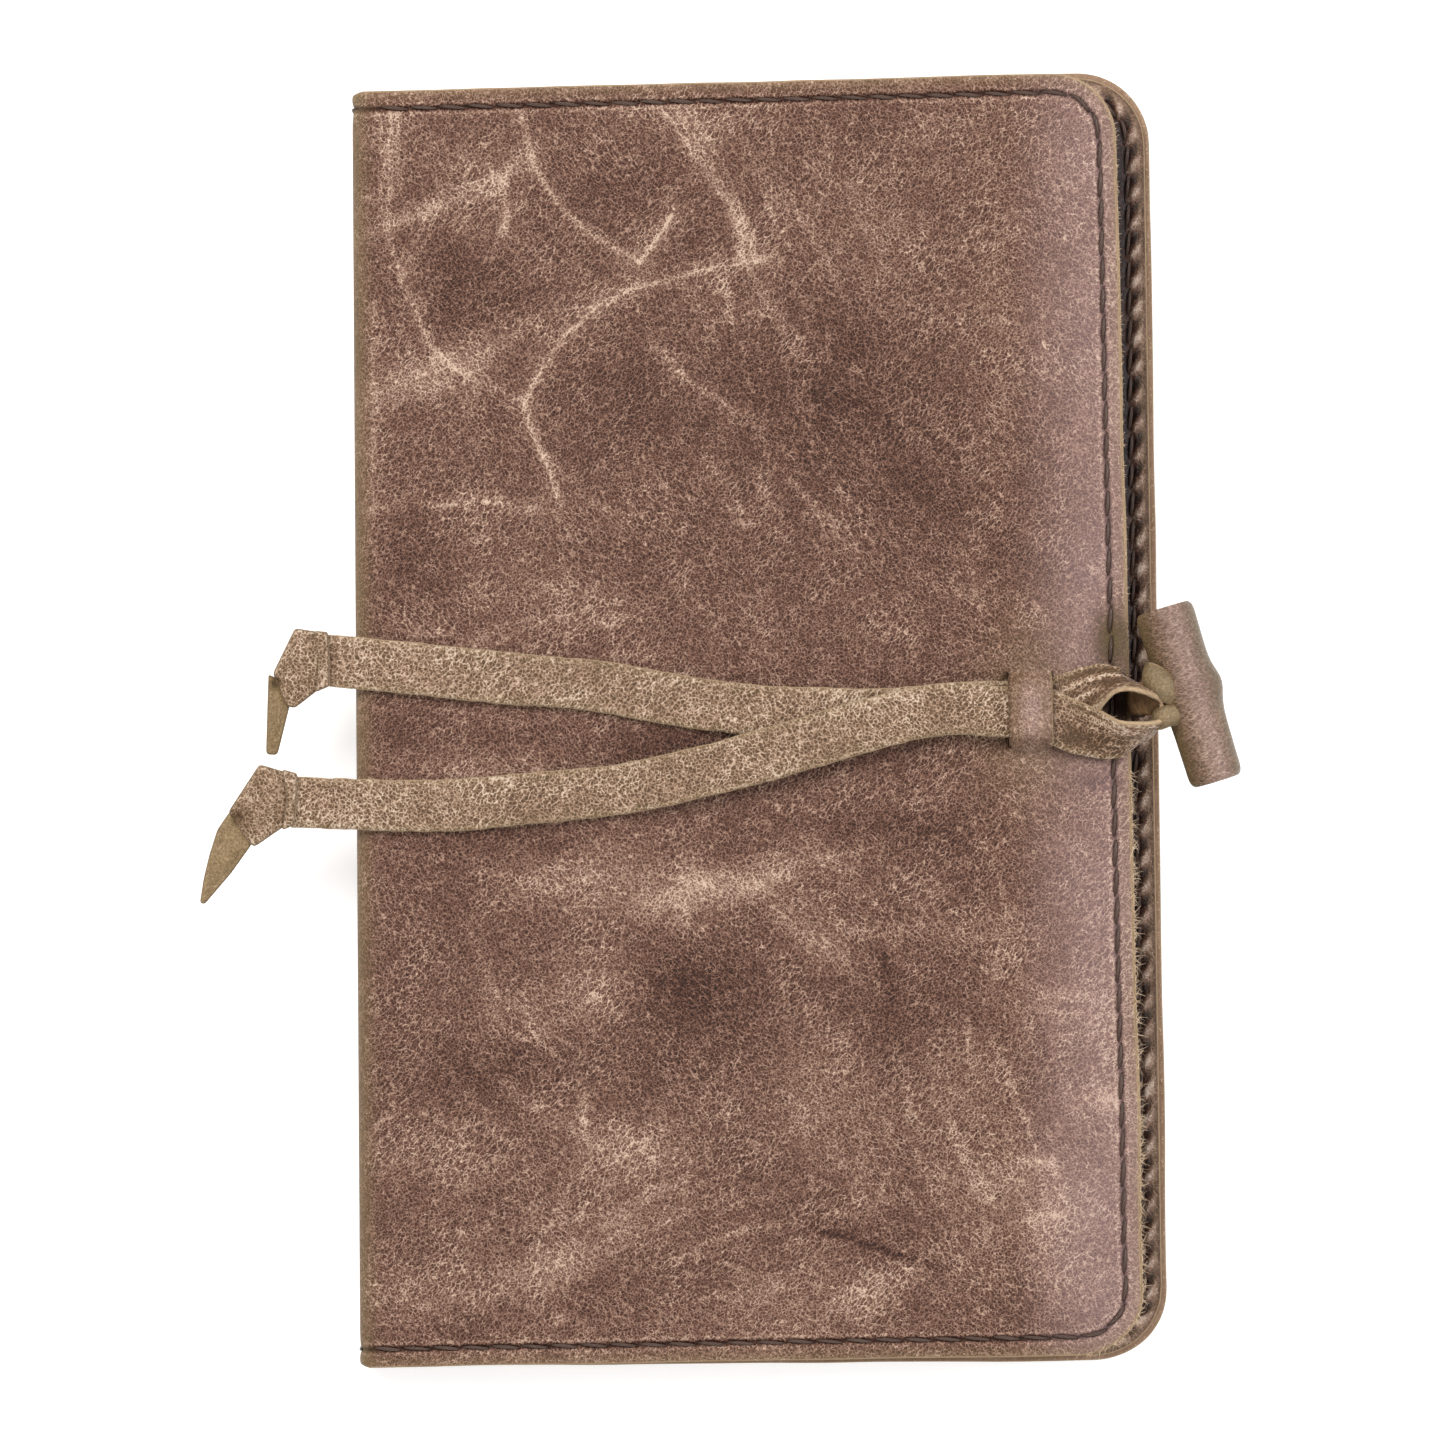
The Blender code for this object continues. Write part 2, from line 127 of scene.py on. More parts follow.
# ------------------------------------------------------------------ small maths
def vnoise(x, y, seed=0):
    """Smooth value noise, one feature per unit, 0..1."""
    tab = np.random.RandomState(seed).rand(256, 256)
    x, y = np.asarray(x, float), np.asarray(y, float)
    xi, yi = np.floor(x).astype(int), np.floor(y).astype(int)
    fx, fy = x - xi, y - yi
    fx, fy = fx * fx * (3 - 2 * fx), fy * fy * (3 - 2 * fy)
    a, b = tab[xi & 255, yi & 255], tab[(xi + 1) & 255, yi & 255]
    c, d = tab[xi & 255, (yi + 1) & 255], tab[(xi + 1) & 255, (yi + 1) & 255]
    return (a * (1 - fx) + b * fx) * (1 - fy) + (c * (1 - fx) + d * fx) * fy


def fbm(x, y, seed=0, octaves=4, gain=0.5):
    v, amp, tot = 0.0, 1.0, 0.0
    for k in range(octaves):
        v = v + amp * vnoise(x * 2 ** k + 13.7 * k, y * 2 ** k + 7.1 * k, seed + k)
        tot += amp
        amp *= gain
    return v / tot


def sstep(a, b, x):
    t = np.clip((x - a) / (b - a), 0, 1)
    return t * t * (3 - 2 * t)


def bilerp(C, W, H, X, Y):
    """Panel coordinates (X from the spine, Y from the middle) to the plan."""
    a, b = X / W, (Y / H + 1) / 2
    tl, tr, br, bl = C
    w = [(1 - a) * b, a * b, a * (1 - b), (1 - a) * (1 - b)]
    return sum(w[k] * C[k][0] for k in range(4)), sum(w[k] * C[k][1] for k in range(4))


def unmap(C, W, H, x, y):
    X, Y = x - SX, y * 1.0
    for _ in range(12):
        px, py = bilerp(C, W, H, X, Y)
        X, Y = X + (x - px), Y + (y - py)
    return X, Y


def inset_of(W, H, r, X, Y):
    """Distance in from the outline, on its top, outer and bottom sides."""
    qx, qy = X - (W - r), np.abs(Y) - (H - r)
    return r - (np.hypot(np.maximum(qx, 0), np.maximum(qy, 0)) + np.minimum(np.maximum(qx, qy), 0))


def along(W, H, r, X, Y):
    """Length along the stitch row nearest this point, from the spine end of the top row."""
    rr = r - ROW
    qx, qy = X - (W - r), np.abs(Y) - (H - r)
    ang = np.arctan2(np.maximum(qx, 0), np.maximum(qy, 1e-9))
    corner = (W - r) + rr * ang
    side = (W - r) + rr * math.pi / 2 + (H - r) - np.abs(Y)
    t = np.where((qx <= 0) & (qy > qx), X, np.where(qy <= 0, side, corner))
    total = 2 * ((W - r) + rr * math.pi / 2 + (H - r))
    return np.where(Y >= 0, t, total - t), total


def row_point(W, H, r, inset, t):
    """The reverse: panel coordinates and direction at length t along a row."""
    rr = r - ROW
    straight, arc, half = W - r, rr * math.pi / 2, H - r
    total = 2 * (straight + arc + half)
    flip = t > total / 2
    s = total - t if flip else t
    if s < straight:
        X, Y, dx, dy = s, H - inset, 1.0, 0.0
    elif s < straight + arc:
        a = (s - straight) / rr
        X, Y = straight + (r - inset) * math.sin(a), half + (r - inset) * math.cos(a)
        dx, dy = math.cos(a), -math.sin(a)
    else:
        X, Y, dx, dy = W - inset, half - (s - straight - arc), 0.0, -1.0
    return (X, -Y, -dx, dy) if flip else (X, Y, dx, dy)


# ------------------------------------------------------------------ mesh making
def mesh_obj(name, verts, faces, mats, face_mat=None, attrs=None, sharp=None):
    """verts in millimetres; attrs is {name: per-vertex floats or 3-vectors}."""
    me = bpy.data.meshes.new(name)
    me.from_pydata((np.asarray(verts, float) * 0.001).tolist(), [], faces)
    for m in mats:
        me.materials.append(m)
    if face_mat is not None:
        me.polygons.foreach_set("material_index", np.asarray(face_mat, np.int32))
    me.shade_smooth()
    if sharp:
        me.set_sharp_from_angle(angle=math.radians(sharp))
    for key, val in (attrs or {}).items():
        val = np.asarray(val, np.float32)
        if val.ndim == 1:
            me.attributes.new(key, "FLOAT", "POINT").data.foreach_set("value", val)
        else:
            me.attributes.new(key, "FLOAT_VECTOR", "POINT").data.foreach_set("vector", val.ravel())
    me.update()
    ob = bpy.data.objects.new(name, me)
    bpy.context.scene.collection.objects.link(ob)
    return ob


def face_out(ob):
    bm = bmesh.new()
    bm.from_mesh(ob.data)
    bmesh.ops.recalc_face_normals(bm, faces=bm.faces)
    bm.to_mesh(ob.data)
    bm.free()


def sheet_mesh(name, O, I, mask, N2, mats, attrs, bulge=0.22, steps=4, flip=False):
    """A leather sheet: outer grid O, inner grid I, walls wherever the mask of cells ends.
    N2 is the outward direction in plan, used to round the cut edge."""
    nc, nr = O.shape[:2]
    n = nc * nr
    verts = [O.reshape(-1, 3), I.reshape(-1, 3)]
    idx = np.arange(n).reshape(nc, nr)
    keep = {k: [np.asarray(v, float).reshape(n, -1)] * 2 for k, v in attrs.items()}
    keep["raw"] = [np.zeros((n, 1)), np.zeros((n, 1))]
    faces, fm = [], []
    ci, cj = np.nonzero(mask)
    q = np.stack([idx[ci, cj], idx[ci + 1, cj], idx[ci + 1, cj + 1], idx[ci, cj + 1]], 1)
    faces += (q if not flip else q[:, ::-1]).tolist()
    fm += [0] * len(q)
    qi = q + n
    faces += (qi[:, ::-1] if not flip else qi).tolist()
    fm += [1] * len(q)
    extra, extra_attr, chains = [], {k: [] for k in keep}, {}
    count = 2 * n

    def chain(i, j):
        nonlocal count
        if (i, j) in chains:
            return chains[i, j]
        a, b = O[i, j], I[i, j]
        out = [idx[i, j]]
        for k in range(1, steps):
            t = k / steps
            p = a + (b - a) * t
            p = p + np.array([N2[i, j, 0], N2[i, j, 1], 0]) * bulge * math.sin(math.pi * t)
            extra.append(p)
            for key in keep:
                extra_attr[key].append([1.0] if key == "raw" else keep[key][0][idx[i, j]] + (np.array([0, 0, 3.0 * k]) if key == "pm" else 0))
            out.append(count)
            count += 1
        out.append(idx[i, j] + n)
        chains[i, j] = out
        return out

    M = np.zeros((nc + 1, nr + 1), bool)
    M[1:nc, 1:nr] = mask
    for i in range(nc - 1):
        for j in range(nr - 1):
            if not mask[i, j]:
                continue
            for (di, dj, a, b) in ((0, -1, (i, j), (i + 1, j)), (1, 0, (i + 1, j), (i + 1, j + 1)),
                                   (0, 1, (i + 1, j + 1), (i, j + 1)), (-1, 0, (i, j + 1), (i, j))):
                if M[i + 1 + di, j + 1 + dj]:
                    continue
                ca, cb = chain(*a), chain(*b)
                for k in range(steps):
                    f = (ca[k], ca[k + 1], cb[k + 1], cb[k])
                    faces.append(f if not flip else f[::-1])
                    fm.append(2)
    if extra:
        verts.append(np.array(extra))
    V = np.concatenate(verts)
    A = {}
    for key, blocks in keep.items():
        parts = list(blocks) + ([np.array(extra_attr[key], float).reshape(len(extra), -1)] if extra else [])
        a = np.concatenate(parts)
        A[key] = a[:, 0] if a.shape[1] == 1 else a
    return mesh_obj(name, V, faces, mats, fm, A)


# ------------------------------------------------------------------ materials
class Tree:
    def __init__(self, name):
        self.mat = bpy.data.materials.new(name)
        self.mat.use_nodes = True
        self.nt = self.mat.node_tree
        self.bsdf = self.nt.nodes["Principled BSDF"]

    def add(self, kind, **props):
        n = self.nt.nodes.new(kind)
        for k, v in props.items():
            setattr(n, k, v)
        return n

    def link(self, a, b):
        self.nt.links.new(a, b)

    def put(self, socket, value):
        if hasattr(value, "is_output"):
            self.link(value, socket)
        else:
            socket.default_value = value

    def attr(self, name, vector=False):
        n = self.add("ShaderNodeAttribute", attribute_name=name)
        return n.outputs["Vector"] if vector else n.outputs["Fac"]

    def math(self, op, a, b=0.0, c=0.0, clamp=False):
        n = self.add("ShaderNodeMath", operation=op, use_clamp=clamp)
        self.put(n.inputs[0], a)
        self.put(n.inputs[1], b)
        if op in ("MULTIPLY_ADD", "COMPARE", "SMOOTH_MIN"):
            self.put(n.inputs[2], c)
        return n.outputs[0]

    def vmath(self, op, a, b):
        n = self.add("ShaderNodeVectorMath", operation=op)
        self.put(n.inputs[0], a)
        self.put(n.inputs[1], b)
        return n.outputs[0]

    def noise(self, vec, scale, detail=3.0, rough=0.55, distort=0.0, colour=False):
        n = self.add("ShaderNodeTexNoise")
        self.put(n.inputs["Vector"], vec)
        n.inputs["Scale"].default_value = scale
        n.inputs["Detail"].default_value = detail
        n.inputs["Roughness"].default_value = rough
        n.inputs["Distortion"].default_value = distort
        return n.outputs["Color" if colour else "Fac"]

    def cells(self, vec, scale, feature="DISTANCE_TO_EDGE", rand=1.0):
        n = self.add("ShaderNodeTexVoronoi", feature=feature)
        self.put(n.inputs["Vector"], vec)
        n.inputs["Scale"].default_value = scale
        n.inputs["Randomness"].default_value = rand
        return n.outputs["Distance"]

    def remap(self, v, a, b, c=0.0, d=1.0, smooth=True):
        n = self.add("ShaderNodeMapRange", interpolation_type="SMOOTHSTEP" if smooth else "LINEAR")
        self.put(n.inputs["Value"], v)
        for k, x in (("From Min", a), ("From Max", b), ("To Min", c), ("To Max", d)):
            self.put(n.inputs[k], x)
        return n.outputs["Result"]

    def ramp(self, v, stops):
        n = self.add("ShaderNodeValToRGB")
        self.put(n.inputs["Fac"], v)
        el = n.color_ramp.elements
        while len(el) < len(stops):
            el.new(0.5)
        for e, (p, c) in zip(el, stops):
            e.position = p
            e.color = (*c, 1)
        return n.outputs["Color"]

    def mix(self, f, a, b, mode="MIX"):
        n = self.add("ShaderNodeMix", data_type="RGBA", blend_type=mode)
        self.put(n.inputs["Factor"], f)
        ins = [s for s in n.inputs if s.type == "RGBA"]
        for s, v in zip(ins, (a, b)):
            self.put(s, v if hasattr(v, "is_output") else (*v, 1))
        return [o for o in n.outputs if o.type == "RGBA"][0]

    def bump(self, h, dist, strength=1.0, normal=None):
        n = self.add("ShaderNodeBump")
        self.put(n.inputs["Height"], h)
        n.inputs["Distance"].default_value = dist
        n.inputs["Strength"].default_value = strength
        if normal is not None:
            self.link(normal, n.inputs["Normal"])
        return n.outputs["Normal"]

    def stretch(self, vec, angle, sx, sy):
        """Coordinates turned in plan and scaled, for grain that runs one way."""
        n = self.add("ShaderNodeMapping", vector_type="POINT")
        self.put(n.inputs["Vector"], vec)
        n.inputs["Rotation"].default_value = (0, 0, math.radians(angle))
        m = self.add("ShaderNodeVectorMath", operation="MULTIPLY")
        self.link(n.outputs["Vector"], m.inputs[0])
        m.inputs[1].default_value = (sx, sy, 1.0)
        return m.outputs[0]


def leather(name, stops, cell=1.0, line=0.26, width=0.15, rough=0.5, spec=0.42, depth=0.00011, hand=True, cloud=0.34, base=0.43, even=0.35):
    t = Tree(name)
    p = t.attr("pm", True)
    wob = t.vmath("SUBTRACT", t.noise(p, 0.55, 2, colour=True), (0.5, 0.5, 0.5))
    q = t.vmath("ADD", p, t.vmath("MULTIPLY", wob, (0.9, 0.9, 0.9)))
    fine = t.cells(q, 1.35 / cell)
    which = t.remap(t.noise(p, 0.045, 2), 0.44, 0.56)
    long = t.cells(t.stretch(q, 38, 1.0, 0.4), 0.95 / cell)
    long2 = t.cells(t.stretch(q, -42, 1.0, 0.4), 0.95 / cell)
    l1 = t.remap(fine, 0.01, width, 1.0, 0.0)
    la = t.remap(long, 0.0, width * 0.8, 1.0, 0.0)
    lb = t.remap(long2, 0.0, width * 0.8, 1.0, 0.0)
    l2 = t.math("ADD", t.math("MULTIPLY", la, which), t.math("MULTIPLY", lb, t.math("SUBTRACT", 1.0, which)))
    mask = t.remap(t.noise(p, 0.09, 3), 0.34, 0.70, 0.35, 0.8)
    mask2 = t.remap(t.noise(p, 0.35, 3), 0.35, 0.65, even, 1.0)
    micro = t.noise(q, 1.9, 3, 0.7)
    tiny = t.noise(p, 3.8, 2, 0.6)
    lines = t.math("ADD", t.math("MULTIPLY", t.math("MULTIPLY", l1, 0.75), mask2), t.math("MULTIPLY", t.math("MULTIPLY", l2, 0.8), mask))
    big = t.noise(p, 0.032, 4, 0.55, 0.7)
    mid = t.noise(p, 0.13, 5, 0.62, 0.4)
    v = t.math("MULTIPLY_ADD", t.math("SUBTRACT", big, 0.5), cloud * 1.7, base)
    v = t.math("MULTIPLY_ADD", t.math("SUBTRACT", mid, 0.5), cloud * 1.5, v)
    v = t.math("MULTIPLY_ADD", t.math("SUBTRACT", micro, 0.5), 0.70, v)
    v = t.math("MULTIPLY_ADD", t.math("SUBTRACT", tiny, 0.5), 0.62, v)
    v = t.math("MULTIPLY_ADD", lines, line, v)
    v = t.math("SUBTRACT", v, line * 0.42)
    if hand:
        v = t.math("ADD", v, t.attr("tone"))
    col = t.ramp(v, stops)
    if hand:
        # painted sheen: mixes the colour halfway towards a pale pinkish grey, a painted highlight standing in for the
        # light's reflection
        col = t.mix(t.attr("painted_sheen"), col, t.mix(0.5, col, (0.34, 0.235, 0.235)))
        # olive tint: the leather's own tint near the spine, round the bridge and along edges; on the toggle's sides and
        # in the dent by the loop it is painted shade
        col = t.mix(t.attr("olive"), col, t.mix(0.6, col, (0.19, 0.135, 0.060)))
    t.link(col, t.bsdf.inputs["Base Color"])
    r = t.math("MULTIPLY_ADD", t.math("SUBTRACT", mid, 0.5), 0.35, rough)
    r = t.math("MULTIPLY_ADD", t.math("SUBTRACT", micro, 0.5), 0.25, r)
    t.link(r, t.bsdf.inputs["Roughness"])
    t.bsdf.inputs["Specular IOR Level"].default_value = spec
    h = t.math("MULTIPLY_ADD", lines, -0.55, t.math("MULTIPLY", micro, 0.9))
    h = t.math("ADD", h, t.math("MULTIPLY", tiny, 0.25))
    t.link(t.bump(h, depth, 1.0), t.bsdf.inputs["Normal"])
    return t.mat


def rough_leather(name, dark, light, scale=1.6, depth=0.00018):
    """Flesh side and cut edges: fibrous, no grain, matt."""
    t = Tree(name)
    p = t.attr("pm", True)
    a = t.noise(t.stretch(p, 20, 1.0, 0.35), scale, 5, 0.7, 0.6)
    b = t.noise(p, scale * 3.5, 3, 0.7)
    c = t.noise(p, 0.12, 3)
    v = t.math("ADD", t.math("MULTIPLY", a, 0.6), t.math("ADD", t.math("MULTIPLY", b, 0.3), t.math("MULTIPLY", c, 0.25)))
    t.link(t.ramp(v, [(0.36, dark), (0.78, light)]), t.bsdf.inputs["Base Color"])
    t.bsdf.inputs["Roughness"].default_value = 0.85
    t.bsdf.inputs["Specular IOR Level"].default_value = 0.2
    t.link(t.bump(t.math("ADD", a, t.math("MULTIPLY", b, 0.6)), depth, 1.0), t.bsdf.inputs["Normal"])
    return t.mat


def thread_mat(name):
    t = Tree(name)
    p = t.attr("pm", True)  # x along the thread, y round it
    tw = t.add("ShaderNodeTexWave", wave_type="BANDS", bands_direction="DIAGONAL")
    t.link(p, tw.inputs["Vector"])
    tw.inputs["Scale"].default_value = 0.62
    tw.inputs["Distortion"].default_value = 1.2
    tw.inputs["Detail"].default_value = 2
    n = t.noise(p, 3.0, 3)
    v = t.math("ADD", t.math("MULTIPLY", tw.outputs["Fac"], 0.65), t.math("MULTIPLY", n, 0.4))
    t.link(t.ramp(v, [(0.15, (0.010, 0.005, 0.003)), (0.55, (0.055, 0.028, 0.019)), (0.95, (0.19, 0.11, 0.075))]), t.bsdf.inputs["Base Color"])
    t.bsdf.inputs["Roughness"].default_value = 0.42
    t.bsdf.inputs["Specular IOR Level"].default_value = 0.5
    t.link(t.bump(v, 0.00016, 1.0), t.bsdf.inputs["Normal"])
    return t.mat


BROWN = [(0.0, (0.022, 0.007, 0.004)), (0.25, (0.064, 0.025, 0.014)), (0.47, (0.128, 0.062, 0.041)), (0.68, (0.225, 0.130, 0.092)), (0.88, (0.355, 0.235, 0.170)), (1.0, (0.50, 0.365, 0.27))]
TAN = [(0.0, (0.045, 0.018, 0.009)), (0.25, (0.105, 0.052, 0.030)), (0.47, (0.195, 0.112, 0.070)), (0.68, (0.335, 0.222, 0.152)), (0.88, (0.50, 0.37, 0.275)), (1.0, (0.62, 0.50, 0.39))]
# the pocket's palette, darker than the cover's: painted shade, as the back pocket lies in the front cover's shadow
POCKET_SHADE_PALETTE = [(0.0, (0.010, 0.004, 0.003)), (0.25, (0.050, 0.021, 0.014)), (0.5, (0.130, 0.062, 0.038)), (0.75, (0.28, 0.175, 0.125)), (1.0, (0.50, 0.38, 0.30))]
ROLL = [(0.0, (0.045, 0.022, 0.010)), (0.25, (0.105, 0.058, 0.033)), (0.5, (0.20, 0.122, 0.082)), (0.75, (0.33, 0.225, 0.165)), (1.0, (0.48, 0.36, 0.28))]

GRAIN = leather("cover_grain", BROWN, cell=0.78, line=0.60, width=0.21, depth=0.0002, cloud=0.15, base=0.385, spec=0.2, even=0.7)
FLESH = rough_leather("flesh_side", (0.16, 0.085, 0.05), (0.40, 0.27, 0.18))
EDGE = rough_leather("cut_edge", (0.17, 0.10, 0.05), (0.48, 0.34, 0.20), 1.9)
LACE = leather("lace_grain", TAN, cell=0.85, line=0.78, width=0.26, depth=0.0002, rough=0.6, cloud=0.18, base=0.325, even=0.85, spec=0.25)
LACE_EDGE = rough_leather("lace_edge", (0.20, 0.12, 0.06), (0.56, 0.41, 0.255), 2.2)
# flesh side of the lace; its very dark end also stands in for the deep shade in the loop's eye, where the loop's and
# the neck's flesh sides show
LACE_FLESH = rough_leather("lace_flesh", (0.030, 0.013, 0.006), (0.27, 0.155, 0.07), 1.2, 0.0004)
ROLLM = leather("toggle_grain", ROLL, cell=0.62, line=0.36, width=0.22, depth=0.00016, rough=0.42, spec=0.35, cloud=0.16, base=0.36, even=0.8)
TIP = leather("lace_tip", [(0.0, (0.045, 0.022, 0.007)), (0.3, (0.13, 0.078, 0.033)), (0.6, (0.27, 0.18, 0.092)), (1.0, (0.50, 0.37, 0.23))], cell=0.6, line=0.30, width=0.2, depth=0.00018, rough=0.55, cloud=0.3, base=0.46, spec=0.3, even=0.5)
FIBRE = rough_leather("fibres", (0.40, 0.27, 0.16), (0.72, 0.56, 0.40), 2.0, 0.00002)
THREAD = thread_mat("waxed_thread")

# ------------------------------------------------------------------ camera
scene = bpy.context.scene
CAM_D = 2600.0
FIELD = 248.5
cam_data = bpy.data.cameras.new("camera")
cam_data.sensor_width = 36.0
cam_data.lens = 36.0 * CAM_D / FIELD
cam_data.clip_start = 0.05
cam_data.clip_end = 20
cam = bpy.data.objects.new("camera", cam_data)
cam.location = (-0.0057, 0.0007, (S + CAM_D) * 0.001)
cam.rotation_euler = (0, 0, math.radians(-0.36))
scene.collection.objects.link(cam)
scene.camera = cam
scene.view_settings.view_transform = "Standard"

# ------------------------------------------------------------------ outer leather
_cut = cad("front_cover")
_cut = _cut[(np.abs(_cut[:, 1]) < 50) & (_cut[:, 0] > 0) & (_cut[:, 0] < box("front_cover")[1][0] - 8)]
FOOT = 1.18  # the CAD band's foot starts this far past each slit's end
SLIT_LO, SLIT_HI = _cut.min(0)[:2] + (0, FOOT), _cut.max(0)[:2] - (0, FOOT)
BAND = (SLIT_LO + SLIT_HI) / 2
LOOP_LO, LOOP_HI = box("lace_loop")
EYE = (LOOP_LO + LOOP_HI) / 2
XL, YB0 = unmap(FRONT, FW, FH, *SLIT_LO)
XR, YB1 = unmap(FRONT, FW, FH, *SLIT_HI)
BRIDGE_LIFT = box("front_cover")[1][2] - S
PANEL_LO, PANEL_HI = box("spine_cover", "front_cover")
POCKET_X = box("back_pocket")[0][0] - SX


def grid_columns(W, fine_from, slits=(), step=0.85):
    xs = list(np.arange(2.6, fine_from, step)) + list(np.arange(fine_from, W - 5.5, 0.5)) + list(np.linspace(W - 5.5, W - 0.9, 20)) + list(np.linspace(W - 0.8, W, 7))
    xs = np.array(sorted(xs))
    for s in slits:
        xs = xs[np.abs(xs - s) > 0.35]
        xs = np.sort(np.concatenate([xs, [s - 0.09, s + 0.09]]))
    return xs


def grid_rows(H, extra=(), step=0.85):
    edge = np.concatenate([np.linspace(0, 0.8, 6), np.linspace(1.0, 5.6, 22)])
    mid = np.arange(6.2, H - 0.3, step)
    half = np.concatenate([edge, mid])
    y = np.concatenate([-H + half, (H - half)[::-1], [0.0]])
    y = np.unique(np.round(y, 4))
    for e in extra:
        y = y[np.abs(y - e) > 0.3]
        y = np.sort(np.append(y, e))
    return y / H


def groove(d, t, depth=0.55, width=0.40):
    """The pulled-in stitch row: deep at the holes, wide along each stitch, with plump leather between rows."""
    ph = (t / PITCH) % 1.0
    hole = np.exp(-(np.minimum(ph, 1 - ph) * PITCH / 0.75) ** 2)
    slant = (ph - 0.5) * 0.45
    w = width * (1.0 - 0.38 * hole)
    g = np.exp(-np.abs((d - ROW - slant) / w) ** 2.4)
    pull = np.exp(-((d - ROW) / 1.7) ** 2)
    return -depth * g * (0.78 + 0.45 * hole) - 0.12 * pull - 0.10 * hole * np.exp(-((d - ROW) / 1.2) ** 2)


def waves(x, y, amp=0.32, seed=3):
    """Slow hollows and swells of well-used leather."""
    v = fbm(x / 34, y / 34, seed, 3) - 0.5
    w = fbm((x + 0.55 * y) / 11, (y - 0.4 * x) / 30, seed + 9, 3) - 0.5
    return amp * (v * 1.5 + w * 0.6)


def near_line(x, y, pts, width):
    """Soft closeness, 1 on the line and 0 away, to a bent line through pts."""
    best = np.full(np.shape(x), 1e9)
    for (x0, y0), (x1, y1) in zip(pts, pts[1:]):
        dx, dy = x1 - x0, y1 - y0
        t = np.clip(((x - x0) * dx + (y - y0) * dy) / (dx * dx + dy * dy), 0, 1)
        best = np.minimum(best, np.hypot(x - x0 - t * dx, y - y0 - t * dy))
    return np.exp(-(best / width) ** 2)


def blob(x, y, cx, cy, rx, ry, deg):
    a = math.radians(deg)
    u = (x - cx) * math.cos(a) + (y - cy) * math.sin(a)
    v = -(x - cx) * math.sin(a) + (y - cy) * math.cos(a)
    return np.exp(-((u / rx) ** 2 + (v / ry) ** 2))


# pull-up clouds, bands and marks: middle in fractions of the CAD front panel with the spine, half sizes in mm, lean, strength
CLOUDS = [
    (0.060, 0.889, 10.3, 1.5, 22, 0.22),
    (0.188, 0.925, 12.9, 2.1, 22, 0.22),
    (0.123, 0.778, 18.9, 2.8, 22, 0.26),
    (0.052, 0.766, 10.3, 3.4, 0, 0.06),
    (0.418, 0.967, 10.3, 3.4, -20, 0.08),
    (0.341, 0.905, 12.0, 8.6, 0, -0.1),
    (0.594, 0.756, 18.9, 15.5, 0, -0.16),
    (0.162, 0.836, 10.3, 6.9, 0, -0.14),
    (0.365, 0.750, 12.0, 10.3, 0, -0.08),
    (0.659, 0.857, 10.3, 12.0, 0, 0.1),
    (0.518, 0.827, 6.9, 12.0, 0, 0.06),
    (0.721, 0.686, 13.8, 12.0, 0, -0.06),
    (0.261, 0.595, 20.6, 6.9, 0, 0.08),
    (0.083, 0.627, 8.6, 8.6, 0, -0.12),
    (0.440, 0.618, 20.6, 5.2, 0, -0.06),
    (0.145, 0.463, 15.5, 3.8, 3, 0.18),
    (0.259, 0.378, 18.9, 4.5, -5, 0.22),
    (0.488, 0.377, 17.2, 2.8, 12, 0.26),
    (0.424, 0.358, 5.8, 5.2, 40, 0.2),
    (0.590, 0.330, 12.0, 2.4, -40, 0.2),
    (0.424, 0.295, 12.9, 9.5, 0, -0.22),
    (0.284, 0.284, 13.8, 7.7, 30, 0.2),
    (0.194, 0.230, 15.5, 7.7, 20, -0.14),
    (0.602, 0.198, 10.3, 13.8, 0, 0.1),
    (0.730, 0.337, 15.5, 2.4, 4, 0.14),
    (0.358, 0.160, 10.3, 7.7, 30, 0.22),
    (0.103, 0.169, 9.5, 8.6, 0, 0.12),
    (0.307, 0.090, 25.8, 3.4, 22, 0.2),
    (0.510, 0.059, 10.3, 3.4, 22, 0.14),
    (0.651, 0.058, 17.2, 3.8, 22, 0.18),
    (0.792, 0.135, 12.0, 10.3, 0, 0.1),
    (0.077, 0.060, 12.0, 5.2, 10, 0.12),
    (0.693, 0.415, 18.9, 3.8, 0, -0.16),
    (0.768, 0.236, 10.3, 8.6, 30, 0.12),
    (0.157, 0.401, 10.3, 6.9, 0, -0.12),
    (0.825, 0.810, 5.2, 15.5, 0, 0.06),
    (0.438, 0.478, 34.4, 3.4, -3, -0.16),
    (0.056, 0.502, 8.6, 8.6, 0, -0.06),
    (0.691, 0.275, 8.6, 10.3, 0, -0.12),
    (0.512, 0.144, 13.8, 5.2, -10, -0.1),
    (0.881, 0.096, 3.4, 13.8, 0, 0.1),
]
